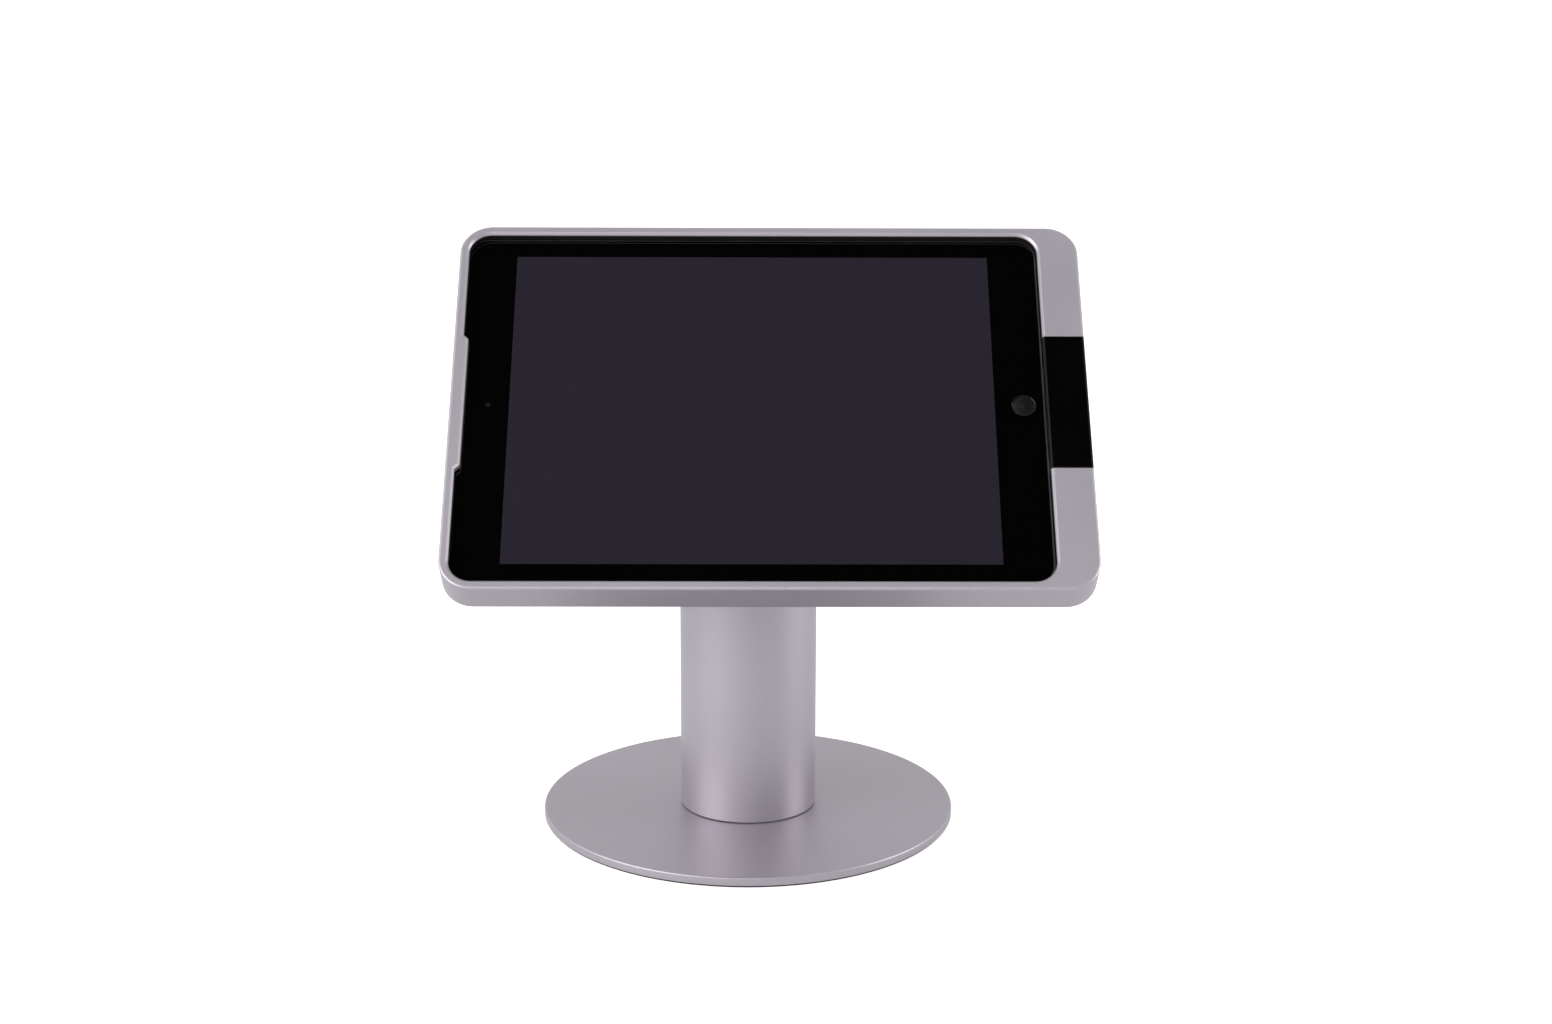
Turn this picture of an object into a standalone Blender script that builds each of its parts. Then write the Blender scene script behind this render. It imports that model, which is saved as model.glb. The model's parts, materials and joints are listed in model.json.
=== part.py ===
"""Touch tablet held in a tilted dock on a round pedestal, modelled piece by piece.

World axes: +X to the user's right, +Y away from the user, +Z up. The origin is the middle of the
base's underside. Everything on the dock is modelled in its slanted frame, whose origin is the
point where the turn axis leaves the column: u runs right, v up the slope, w out of the screen.
"""
import math

import bmesh
import bpy
from mathutils import Vector

MM = 0.001

# Clearances
FIT_GAP = 0.3 * MM              # between two pieces that touch or fit together
POCKET_CLEARANCE = 0.25 * MM    # between the tablet's edge and the pocket round it
TRAVEL_GAP = 0.1 * MM           # left under a button at the end of its travel
CUT_PAST = 1.0 * MM             # how far a cutter runs past the face it opens

# Stand
BASE_DIAMETER = 182 * MM
PAD_THICKNESS = 0.5 * MM
PAD_INSET = 0.8 * MM
BASE_THICKNESS = 3.7 * MM
BASE_BEVEL = 0.7 * MM
COLUMN_DIAMETER = 60 * MM
COLUMN_WALL = 2.5 * MM
COLUMN_HEIGHT = 175.9 * MM      # on its axis, to the slanted cut
TILT = math.radians(45)         # of the dock, from level
FOOT_PLUG_HEIGHT = 12 * MM
BASE_SCREW_LENGTH = 11 * MM
BASE_SCREW_CIRCLE = 18 * MM
OUTLET_ABOVE_PLUG = 14 * MM
OUTLET_RADIUS = 4.2 * MM
GROMMET_WALL = 1.5 * MM
GROMMET_FLANGE = 1.9 * MM
GROMMET_FLANGE_THICKNESS = 1.4 * MM

# Turning joint between the column and the dock
CAP_THICKNESS = 4 * MM
WASHER_THICKNESS = 0.7 * MM
WASHER_WIDTH = 5.2 * MM
TURN_PLATE_THICKNESS = 3.3 * MM
TURN_PLATE_INSET = 0.8 * MM
HUB_WALL = 3.5 * MM
NUT_THICKNESS = 3 * MM
NUT_WIDTH = 4.8 * MM
THREAD_PAST_NUT = 0.7 * MM
STOP_PIN_RADIUS = 2 * MM
PIN_COVER = 1.3 * MM            # turn plate left over the stop pin
STOP_SLOT_WALL = 3.8 * MM       # cap left outside the stop slot
STOP_WASHER_WALL = 1.6 * MM     # cap left between the stop slot and the washer
TURN_RANGE = math.radians(90)
STOP_SLOT_START = math.radians(45)
STOP_SPARE = math.radians(1.5)
TURN_SCREW_EDGE = 7.2 * MM      # from the turn plate's edge to the screw circle
TURN_SCREW_LENGTH = 5.4 * MM

# Screws
SCREW_HEAD_RADIUS = 3.0 * MM
SCREW_HEAD_HEIGHT = 1.7 * MM
SCREW_RADIUS = 1.5 * MM
SCREW_SUNK = 0.1 * MM

# Tablet
TABLET_LENGTH = 250.6 * MM
TABLET_HEIGHT = 174.1 * MM
TABLET_THICKNESS = 7.5 * MM
TABLET_CORNER = 9 * MM
TABLET_OFFSET = 1.5 * MM        # of its middle, to the right of the turn axis
GLASS_INSET = 0.8 * MM
GLASS_THICKNESS = 0.8 * MM
GLASS_PROUD = 0.2 * MM
CASE_WALL = 1.9 * MM
CASE_FLOOR = 1.0 * MM
BACK_ROUND = 3.2 * MM           # height and reach of the curved back edge
PANEL_LENGTH = 212 * MM
PANEL_HEIGHT = 160 * MM
PANEL_THICKNESS = 1.6 * MM
BATTERY_HEADROOM = 0.5 * MM     # left under the display panel
BATTERY_LENGTH = 88 * MM
BATTERY_HEIGHT = 128 * MM
BATTERY_SPACE = 4 * MM
BOARD_LENGTH = 16 * MM
BOARD_HEIGHT = 140 * MM
BOARD_THICKNESS = 1.2 * MM
HOME_BUTTON_RADIUS = 4.8 * MM
HOME_BUTTON_THICKNESS = 1.3 * MM
HOME_BUTTON_SUNK = 0.2 * MM
HOME_FROM_EDGE = 9.3 * MM
HOME_TRAVEL = 0.4 * MM
HOME_BRACKET_THICKNESS = 0.7 * MM
HOME_BRACKET_LENGTH = 17 * MM
FRONT_CAMERA_RADIUS = 3.2 * MM
FRONT_CAMERA_DEPTH = 3.6 * MM
FRONT_CAMERA_FROM_EDGE = 12.7 * MM
REAR_CAMERA_FROM_EDGE = 12.3 * MM
REAR_CAMERA_RADIUS = 5.2 * MM
REAR_CAMERA_GLASS_RADIUS = 3.7 * MM
REAR_CAMERA_GLASS_THICKNESS = 0.6 * MM
REAR_CAMERA_DEPTH = 3.1 * MM
SIDE_BUTTON_HEIGHT = 1.6 * MM
SIDE_BUTTON_PROUD = 0.4 * MM
SIDE_BUTTON_TRAVEL = 0.4 * MM
SIDE_BUTTON_MIDDLE = 4.1 * MM   # above the tablet's back
SIDE_SWITCH_DEPTH = 1.6 * MM
POWER_LENGTH = 10 * MM
POWER_FROM_TOP = 17 * MM
VOLUME_LENGTH = 9 * MM
VOLUME_FROM_LEFT = 15 * MM
VOLUME_PITCH = 11 * MM
JACK_RADIUS = 1.75 * MM
JACK_FROM_BOTTOM = 19 * MM
JACK_LENGTH = 12.8 * MM
JACK_BODY = 4.6 * MM
JACK_BORE_DEPTH = 11 * MM
PORT_LENGTH = 8.4 * MM
PORT_HEIGHT = 2.0 * MM
PORT_BODY_LENGTH = 11 * MM
PORT_BODY_HEIGHT = 3.2 * MM
PORT_BODY_DEPTH = 7 * MM
PORT_BORE_DEPTH = 6 * MM
SPEAKER_LENGTH = 26 * MM
SPEAKER_DEPTH = 9 * MM
SPEAKER_THICKNESS = 3.2 * MM
SPEAKER_FROM_MIDDLE = 50 * MM
SPEAKER_HOLES = 6
SPEAKER_HOLE_RADIUS = 0.8 * MM
SPEAKER_HOLE_PITCH = 3.6 * MM

# Dock
FLOOR_THICKNESS = 3.0 * MM
TRAY_PAD_THICKNESS = 1.1 * MM
TRAY_PAD_LENGTH = 40 * MM
TRAY_PAD_WIDTH = 12 * MM
TRAY_PAD_FROM_EDGE = 26 * MM
RIM_PROUD = 4.0 * MM            # rim above the glass
RIM_WIDTH = 4.2 * MM            # along the long edges
RIM_LEFT_WIDTH = 4.0 * MM
RIM_RIGHT_WIDTH = 18.0 * MM    # the block that holds the plug
RIM_OVER_LEFT = 0.7 * MM        # rim reaching over the tablet's left edge
RIM_LIP_THICKNESS = 1.5 * MM
RIM_CORNER = 14 * MM
OPENING_CORNER = 9.6 * MM
EDGE_ROUND = 1.0 * MM
INNER_CHAMFER = 1.0 * MM
UNDERCUT = 1.15 * MM            # wall from the tablet's edge, under the rim
GASKET_THICKNESS = 0.6 * MM
GASKET_NOTCH = 1.9 * MM         # recess floor above the tablet's back
GASKET_FILM = 0.2 * MM          # strip left behind a recess
NOTCH_SPARE = 4 * MM
LIP_LENGTH = 68 * MM
LIP_REACH = 2.1 * MM            # past the rim's inner edge
LIP_SLANT = 2.0 * MM
LIP_CLEARANCE = 0.8 * MM        # over the glass
CHANNEL_WIDTH = 9 * MM
CHANNEL_DEPTH = 1.2 * MM
LID_LENGTH = 66 * MM
LID_THICKNESS = 2.6 * MM
LID_SKIRT = 2.2 * MM
PLUG_POCKET_LENGTH = 51 * MM
MAGNET_RADIUS = 2.5 * MM
SEAT_MAGNET_HEIGHT = 2.9 * MM
LID_MAGNET_HEIGHT = 1.1 * MM

# Facets
CORNER_STEPS = 6
EDGE_STEPS = 4
ROUND_STEPS = 32
BASE_STEPS = 96
COLUMN_STEPS = 64
SMALL_STEPS = 16
SMOOTH_ANGLE = math.radians(35)

# Stand heights
PLATE_BOTTOM = PAD_THICKNESS + FIT_GAP
PLATE_TOP = PLATE_BOTTOM + BASE_THICKNESS
FOOT_Z = PLATE_TOP + FIT_GAP
PLUG_TOP = FOOT_Z + FOOT_PLUG_HEIGHT
OUTLET_Z = PLUG_TOP + OUTLET_ABOVE_PLUG
BASE_RADIUS = BASE_DIAMETER / 2
COLUMN_RADIUS = COLUMN_DIAMETER / 2
COLUMN_BORE = COLUMN_RADIUS - COLUMN_WALL

# Turning joint, from the column's wall inwards
CAP_RADIUS = COLUMN_BORE - FIT_GAP
STOP_SLOT_HALF = STOP_PIN_RADIUS + FIT_GAP
STOP_RADIUS = CAP_RADIUS - STOP_SLOT_WALL - STOP_SLOT_HALF
WASHER_RADIUS = STOP_RADIUS - STOP_SLOT_HALF - STOP_WASHER_WALL
HUB_RADIUS = WASHER_RADIUS - WASHER_WIDTH - FIT_GAP
HUB_BORE = HUB_RADIUS - HUB_WALL
TURN_PLATE_RADIUS = COLUMN_RADIUS - TURN_PLATE_INSET
TURN_SCREW_CIRCLE = TURN_PLATE_RADIUS - TURN_SCREW_EDGE

# Heights along w, from the column's slanted cut outwards
WASHER_BOTTOM = FIT_GAP
WASHER_TOP = WASHER_BOTTOM + WASHER_THICKNESS
TURN_PLATE_BOTTOM = WASHER_TOP + FIT_GAP
TURN_PLATE_TOP = TURN_PLATE_BOTTOM + TURN_PLATE_THICKNESS
NUT_TOP = -CAP_THICKNESS - FIT_GAP
NUT_BOTTOM = NUT_TOP - NUT_THICKNESS
HUB_BOTTOM = NUT_BOTTOM - THREAD_PAST_NUT
SHELL_BOTTOM = TURN_PLATE_TOP + FIT_GAP
FLOOR_TOP = SHELL_BOTTOM + FLOOR_THICKNESS
TRAY_PAD_BOTTOM = FLOOR_TOP + FIT_GAP
TRAY_PAD_TOP = TRAY_PAD_BOTTOM + TRAY_PAD_THICKNESS
TABLET_BACK = TRAY_PAD_TOP + FIT_GAP
GLASS_TOP = TABLET_BACK + TABLET_THICKNESS
GLASS_BOTTOM = GLASS_TOP - GLASS_THICKNESS
RIM_TOP = GLASS_TOP + RIM_PROUD
RIM_LIP_BOTTOM = RIM_TOP - RIM_LIP_THICKNESS
CASE_TOP = GLASS_TOP - GLASS_PROUD
LEDGE_TOP = GLASS_BOTTOM - FIT_GAP
CASE_FLOOR_TOP = TABLET_BACK + CASE_FLOOR
INSIDE_BOTTOM = CASE_FLOOR_TOP + FIT_GAP
PANEL_BOTTOM = LEDGE_TOP - PANEL_THICKNESS
LID_BOTTOM = RIM_TOP - LID_THICKNESS
SEAT_TOP = LID_BOTTOM - FIT_GAP
PLUG_FLOOR = FLOOR_TOP + FIT_GAP

# Edges across the dock
TABLET_LEFT = TABLET_OFFSET - TABLET_LENGTH / 2
TABLET_RIGHT = TABLET_OFFSET + TABLET_LENGTH / 2
TABLET_HALF = TABLET_HEIGHT / 2
OPENING_LEFT = TABLET_LEFT + RIM_OVER_LEFT
OPENING_RIGHT = TABLET_RIGHT + POCKET_CLEARANCE
OPENING_HALF = TABLET_HALF + POCKET_CLEARANCE
DOCK_LEFT = OPENING_LEFT - RIM_LEFT_WIDTH
DOCK_RIGHT = OPENING_RIGHT + RIM_RIGHT_WIDTH
DOCK_HALF = OPENING_HALF + RIM_WIDTH
LID_HALF = LID_LENGTH / 2
MAGNET_V = (LID_HALF + PLUG_POCKET_LENGTH / 2) / 2
MAGNET_U = OPENING_RIGHT + (RIM_RIGHT_WIDTH - LID_SKIRT) / 2
HOME_U = TABLET_RIGHT - HOME_FROM_EDGE
POWER_V = TABLET_HALF - POWER_FROM_TOP - POWER_LENGTH / 2
VOLUME_UP_U = TABLET_LEFT + VOLUME_FROM_LEFT + VOLUME_LENGTH / 2
VOLUME_DOWN_U = VOLUME_UP_U + VOLUME_PITCH
SIDE_BUTTON_W = TABLET_BACK + SIDE_BUTTON_MIDDLE
PORT_W = INSIDE_BOTTOM + PORT_BODY_HEIGHT / 2
JACK_W = INSIDE_BOTTOM + JACK_BODY / 2
JACK_V = JACK_FROM_BOTTOM - TABLET_HALF

# name: (base colour, metallic, roughness)
FINISHES = {
    "satin_metal": ((0.40, 0.37, 0.405), 0.6, 0.40),
    "satin_aluminium": ((0.40, 0.37, 0.405), 0.6, 0.40),
    "plain_steel": ((0.50, 0.50, 0.51), 1.0, 0.30),
    "case_aluminium": ((0.20, 0.20, 0.215), 1.0, 0.35),
    "black_gloss": ((0.004, 0.004, 0.005), 0.0, 0.10),
    "black_rubber": ((0.012, 0.012, 0.012), 0.0, 0.80),
    "black_plastic": ((0.02, 0.02, 0.02), 0.0, 0.50),
    "white_nylon": ((0.75, 0.75, 0.72), 0.0, 0.50),
    "screen_glass": ((0.006, 0.006, 0.008), 0.0, 0.05),
    "display_layer": ((0.024, 0.020, 0.030), 0.0, 0.30),
    "battery_wrap": ((0.05, 0.05, 0.055), 0.0, 0.55),
    "circuit_green": ((0.01, 0.06, 0.03), 0.0, 0.50),
    "magnet_plate": ((0.60, 0.60, 0.60), 1.0, 0.20),
}


def clear_scene():
    for old in list(bpy.data.objects):
        bpy.data.objects.remove(old, do_unlink=True)


def make_empty(name, place, parent=None, tilt=0.0):
    empty = bpy.data.objects.new(name, None)
    empty.location = place
    empty.rotation_euler = (tilt, 0, 0)
    empty.parent = parent
    bpy.context.collection.objects.link(empty)
    return empty


def make_material(name, finish):
    colour, metallic, roughness = FINISHES[finish]
    material = bpy.data.materials.new(name + "_finish")
    material.use_nodes = True
    shader = material.node_tree.nodes["Principled BSDF"]
    shader.inputs["Base Color"].default_value = (*colour, 1)
    shader.inputs["Metallic"].default_value = metallic
    shader.inputs["Roughness"].default_value = roughness
    return material


def make_piece(name, shape, finish, joint=None, start=(0, 0, 0)):
    """Object from a (points, faces) shape, hung on a joint's empty that stands at start."""
    points, faces = shape
    mesh = bpy.data.meshes.new(name)
    mesh.from_pydata([Vector(point) - Vector(start) for point in points], [], faces)
    cleaner = bmesh.new()
    cleaner.from_mesh(mesh)
    bmesh.ops.recalc_face_normals(cleaner, faces=cleaner.faces)
    cleaner.to_mesh(mesh)
    cleaner.free()
    mesh.shade_smooth()
    mesh.set_sharp_from_angle(angle=SMOOTH_ANGLE)
    piece = bpy.data.objects.new(name, mesh)
    piece.parent = joint
    piece.data.materials.append(make_material(name, finish))
    bpy.context.collection.objects.link(piece)
    return piece


def shape_with(piece, shape, operation="DIFFERENCE", joint=None, start=(0, 0, 0)):
    """Cut a shape out of a piece, or join it on, with a hidden helper object."""
    helper = make_piece(piece.name + "_helper", shape, "black_plastic", joint, start)
    helper.hide_render = True
    helper.display_type = "WIRE"
    modifier = piece.modifiers.new(operation.lower(), "BOOLEAN")
    modifier.operation = operation
    modifier.solver = "EXACT"
    modifier.object = helper


def circle(radius, steps, centre=(0, 0)):
    """Points round a circle, anticlockwise."""
    turns = [2 * math.pi * step / steps for step in range(steps)]
    return [(centre[0] + radius * math.cos(t), centre[1] + radius * math.sin(t)) for t in turns]


def rounded(left, right, low, high, radius, steps=CORNER_STEPS):
    """Rectangle with round corners, anticlockwise from the right end of its low edge."""
    corners = [(right - radius, low + radius, -90), (right - radius, high - radius, 0),
               (left + radius, high - radius, 90), (left + radius, low + radius, 180)]
    points = []
    for x, y, start in corners:
        for step in range(steps + 1):
            turn = math.radians(start + 90 * step / steps)
            points.append((x + radius * math.cos(turn), y + radius * math.sin(turn)))
    return points


def inset_tablet(inset):
    """Tablet outline drawn in by an inset; a negative one grows it."""
    return rounded(TABLET_LEFT + inset, TABLET_RIGHT - inset, inset - TABLET_HALF,
                   TABLET_HALF - inset, TABLET_CORNER - inset)


def lay(outline, height):
    """Outline in u and v, at a height along w."""
    return [(x, y, height) for x, y in outline]


def loft(loops, ring=False):
    """Skin over loops of equal length; the ends are filled, or joined for a ring."""
    count = len(loops[0])
    points = [point for loop in loops for point in loop]
    faces = []
    rows = len(loops) if ring else len(loops) - 1
    for row in range(rows):
        here = row * count
        there = ((row + 1) % len(loops)) * count
        for step in range(count):
            after = (step + 1) % count
            faces.append((here + step, here + after, there + after, there + step))
    if not ring:
        faces.append(tuple(range(count)))
        faces.append(tuple(range(len(points) - count, len(points))))
    return points, faces


def plate(outline, low, high):
    return loft([lay(outline, low), lay(outline, high)])


def block(low, high):
    outline = [(low[0], low[1]), (high[0], low[1]), (high[0], high[1]), (low[0], high[1])]
    return plate(outline, low[2], high[2])


def block_at(u, v, length, height, low, high):
    """Block centred at (u, v) from one height along w to another."""
    return block((u - length / 2, v - height / 2, low), (u + length / 2, v + height / 2, high))


def disc(radius, low, high, centre=(0, 0), steps=ROUND_STEPS):
    return plate(circle(radius, steps, centre), low, high)


def turned(profile, centre=(0, 0), steps=ROUND_STEPS, ring=False):
    """Profile of (radius, height) points turned about a line along w or z."""
    return loft([lay(circle(radius, steps, centre), height) for radius, height in profile], ring)


def along_u(shape):
    """Shape modelled along w, laid along u: (x, y, z) becomes (z, x, y)."""
    points, faces = shape
    return [(z, x, y) for x, y, z in points], faces


def along_v(shape):
    """Shape modelled along w, laid along v: (x, y, z) becomes (x, z, y)."""
    points, faces = shape
    return [(x, z, y) for x, y, z in points], faces


def screw_shape(place, length, direction, spare=0.0):
    """Countersunk screw, its head's face at place, pointing along w by direction.

    With a spare width the same shape is its hole, open past the head's face.
    """
    u, v, face = place
    past = CUT_PAST if spare else 0.0
    profile = [
        (SCREW_HEAD_RADIUS + spare, face - direction * past),
        (SCREW_HEAD_RADIUS + spare, face + direction * spare),
        (SCREW_RADIUS + spare, face + direction * (SCREW_HEAD_HEIGHT + spare)),
        (SCREW_RADIUS + spare, face + direction * (length + spare)),
    ]
    return turned(profile, (u, v), SMALL_STEPS)


def ring_places(radius, count, start=0.0):
    turns = [start + 2 * math.pi * step / count for step in range(count)]
    return [(radius * math.cos(t), radius * math.sin(t)) for t in turns]


# Stand

def slanted_loop(radius, offset=0.0, steps=COLUMN_STEPS):
    """Loop on a vertical cylinder where a plane parallel to the slanted cut meets it."""
    rise = COLUMN_HEIGHT + offset / math.cos(TILT)
    return [(x, y, rise + y * math.tan(TILT)) for x, y in circle(radius, steps)]


def make_base():
    make_piece("base_pad", disc(BASE_RADIUS - PAD_INSET, 0, PAD_THICKNESS, steps=BASE_STEPS),
               "black_rubber")
    profile = [
        (BASE_RADIUS - FIT_GAP, PLATE_BOTTOM),
        (BASE_RADIUS, PLATE_BOTTOM + FIT_GAP),
        (BASE_RADIUS, PLATE_TOP - BASE_BEVEL),
        (BASE_RADIUS - BASE_BEVEL, PLATE_TOP),
    ]
    base = make_piece("base_plate", turned(profile, steps=BASE_STEPS), "satin_metal")
    plug = make_piece("foot_plug", disc(COLUMN_BORE - FIT_GAP, FOOT_Z, PLUG_TOP), "plain_steel")
    places = ring_places(BASE_SCREW_CIRCLE, 4, math.radians(45))
    for number, (x, y) in enumerate(places, 1):
        face = (x, y, PLATE_BOTTOM + SCREW_SUNK)
        make_piece(f"base_screw_{number}", screw_shape(face, BASE_SCREW_LENGTH, 1), "plain_steel")
        hole = screw_shape(face, BASE_SCREW_LENGTH, 1, FIT_GAP)
        shape_with(base, hole)
        shape_with(plug, hole)


def make_column():
    """Tube cut at the dock's slant, with a cable outlet low on its back."""
    foot_inner = lay(circle(COLUMN_BORE, COLUMN_STEPS), FOOT_Z)
    foot_outer = lay(circle(COLUMN_RADIUS, COLUMN_STEPS), FOOT_Z)
    top_outer = slanted_loop(COLUMN_RADIUS)
    top_inner = slanted_loop(COLUMN_BORE)
    walls = loft([foot_inner, foot_outer, top_outer, top_inner], ring=True)
    column = make_piece("column_tube", walls, "satin_metal")
    sleeve = OUTLET_RADIUS + GROMMET_WALL
    hole = disc(sleeve + FIT_GAP, COLUMN_BORE / 2, COLUMN_RADIUS + CUT_PAST, (0, OUTLET_Z),
                SMALL_STEPS)
    shape_with(column, along_v(hole))
    flange = sleeve + GROMMET_FLANGE
    face = COLUMN_RADIUS + FIT_GAP
    profile = [
        (OUTLET_RADIUS, COLUMN_BORE - FIT_GAP),
        (sleeve, COLUMN_BORE - FIT_GAP),
        (sleeve, face),
        (flange, face),
        (flange, face + GROMMET_FLANGE_THICKNESS / 2),
        (sleeve, face + GROMMET_FLANGE_THICKNESS),
        (OUTLET_RADIUS, face + GROMMET_FLANGE_THICKNESS),
    ]
    ring = turned(profile, (0, OUTLET_Z), SMALL_STEPS, ring=True)
    make_piece("cable_grommet", along_v(ring), "black_rubber")


def stop_slot(low, high):
    """Arc slot that the stop pin runs in, with round ends."""
    first = STOP_SLOT_START - STOP_SPARE
    last = STOP_SLOT_START + TURN_RANGE + STOP_SPARE
    steps = SMALL_STEPS
    turns = [first + (last - first) * step / steps for step in range(steps + 1)]
    outer = STOP_RADIUS + STOP_SLOT_HALF
    inner = STOP_RADIUS - STOP_SLOT_HALF
    outline = [(outer * math.cos(t), outer * math.sin(t)) for t in turns]
    outline += round_end(last, 0)
    outline += [(inner * math.cos(t), inner * math.sin(t)) for t in reversed(turns)]
    outline += round_end(first, math.pi)
    return plate(outline, low, high)


def round_end(turn, start):
    """Inner points of the half circle that closes the slot at a turn."""
    centre = (STOP_RADIUS * math.cos(turn), STOP_RADIUS * math.sin(turn))
    ends = [turn + start + math.pi * step / 4 for step in (1, 2, 3)]
    return [(centre[0] + STOP_SLOT_HALF * math.cos(t),
             centre[1] + STOP_SLOT_HALF * math.sin(t)) for t in ends]


def make_cap(slant):
    """Plug that closes the slanted cut, bored for the hub and slotted for the stop pin."""
    bottom = slanted_loop(CAP_RADIUS, -CAP_THICKNESS)
    cap = make_piece("column_cap", loft([bottom, slanted_loop(CAP_RADIUS)]), "plain_steel")
    past = -CAP_THICKNESS - CUT_PAST
    shape_with(cap, disc(HUB_RADIUS + FIT_GAP, past, CUT_PAST), joint=slant)
    shape_with(cap, stop_slot(past, CUT_PAST), joint=slant)


# Turning joint

def make_turning_joint(slant, pivot):
    inner = HUB_RADIUS + FIT_GAP
    washer = [(inner, WASHER_BOTTOM), (WASHER_RADIUS, WASHER_BOTTOM),
              (WASHER_RADIUS, WASHER_TOP), (inner, WASHER_TOP)]
    make_piece("turn_washer", turned(washer, ring=True), "white_nylon", slant)
    profile = [
        (HUB_BORE, HUB_BOTTOM),
        (HUB_RADIUS, HUB_BOTTOM),
        (HUB_RADIUS, TURN_PLATE_BOTTOM),
        (TURN_PLATE_RADIUS, TURN_PLATE_BOTTOM),
        (TURN_PLATE_RADIUS, TURN_PLATE_TOP),
        (HUB_BORE, TURN_PLATE_TOP),
    ]
    turn_plate = make_piece("turn_plate", turned(profile, ring=True), "satin_aluminium", pivot)
    nut = [lay(circle(inner, 6 * 4), NUT_BOTTOM), lay(hexagon(inner + NUT_WIDTH), NUT_BOTTOM),
           lay(hexagon(inner + NUT_WIDTH), NUT_TOP), lay(circle(inner, 6 * 4), NUT_TOP)]
    make_piece("hub_nut", loft(nut, ring=True), "plain_steel", pivot)
    turn = STOP_SLOT_START + TURN_RANGE
    place = (STOP_RADIUS * math.cos(turn), STOP_RADIUS * math.sin(turn))
    low = FIT_GAP - CAP_THICKNESS
    high = TURN_PLATE_TOP - PIN_COVER
    pin = disc(STOP_PIN_RADIUS, low, high, place, SMALL_STEPS)
    make_piece("stop_pin", pin, "plain_steel", pivot)
    hole = disc(STOP_PIN_RADIUS + FIT_GAP, low, high + FIT_GAP, place, SMALL_STEPS)
    shape_with(turn_plate, hole, joint=pivot)
    return turn_plate


def hexagon(radius):
    """Hexagon with four points to a side, to match a circle of 24."""
    points = []
    for side in range(6):
        start = math.radians(60 * side)
        end = math.radians(60 * (side + 1))
        for step in range(4):
            share = step / 4
            x = (1 - share) * math.cos(start) + share * math.cos(end)
            y = (1 - share) * math.sin(start) + share * math.sin(end)
            points.append((radius * x, radius * y))
    return points


# Dock

def dock_outline(inset):
    return rounded(DOCK_LEFT + inset, DOCK_RIGHT - inset, inset - DOCK_HALF,
                   DOCK_HALF - inset, RIM_CORNER - inset)


def opening_outline(grow):
    return rounded(OPENING_LEFT - grow, OPENING_RIGHT + grow, -OPENING_HALF - grow,
                   OPENING_HALF + grow, OPENING_CORNER + grow)


def round_edges(low, high, radius):
    """Points (inset, height) up a side wall, with a quarter round at each edge."""
    turns = [math.radians(90 * step / EDGE_STEPS) for step in range(EDGE_STEPS + 1)]
    foot = [(radius * (1 - math.sin(t)), radius * (1 - math.cos(t))) for t in turns]
    head = [(inset, high - rise) for inset, rise in reversed(foot)]
    return [(inset, low + rise) for inset, rise in foot] + head


def make_shell(pivot):
    """Tray with a rim all round, undercut inside for the gasket."""
    loops = [lay(dock_outline(inset), height)
             for inset, height in round_edges(SHELL_BOTTOM, RIM_TOP, EDGE_ROUND)]
    loops += [
        lay(opening_outline(INNER_CHAMFER), RIM_TOP),
        lay(opening_outline(0), RIM_TOP - INNER_CHAMFER),
        lay(opening_outline(0), RIM_LIP_BOTTOM),
        lay(inset_tablet(-UNDERCUT), RIM_LIP_BOTTOM),
        lay(inset_tablet(-UNDERCUT), FLOOR_TOP),
    ]
    shell = make_piece("dock_shell", loft(loops), "satin_aluminium", pivot)
    shape_with(shell, lip_shape(), "UNION", pivot)
    hub_hole = disc(HUB_BORE + FIT_GAP, SHELL_BOTTOM - CUT_PAST, FLOOR_TOP + CUT_PAST)
    shape_with(shell, hub_hole, joint=pivot)
    channel = block((0, -CHANNEL_WIDTH / 2, FLOOR_TOP - CHANNEL_DEPTH),
                    (MAGNET_U, CHANNEL_WIDTH / 2, FLOOR_TOP + CUT_PAST))
    shape_with(shell, channel, joint=pivot)
    cut_lid_seat(shell, pivot)
    return shell


def lip_shape():
    """Retaining lip over the tablet's left edge, with slanted ends."""
    half = LIP_LENGTH / 2
    root = (DOCK_LEFT + OPENING_LEFT) / 2
    tip = OPENING_LEFT + LIP_REACH
    outline = [(root, -half), (OPENING_LEFT, -half), (tip, LIP_SLANT - half),
               (tip, half - LIP_SLANT), (OPENING_LEFT, half), (root, half)]
    top = RIM_TOP - INNER_CHAMFER / 2
    return plate(outline, GLASS_TOP + LIP_CLEARANCE, top)


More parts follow.
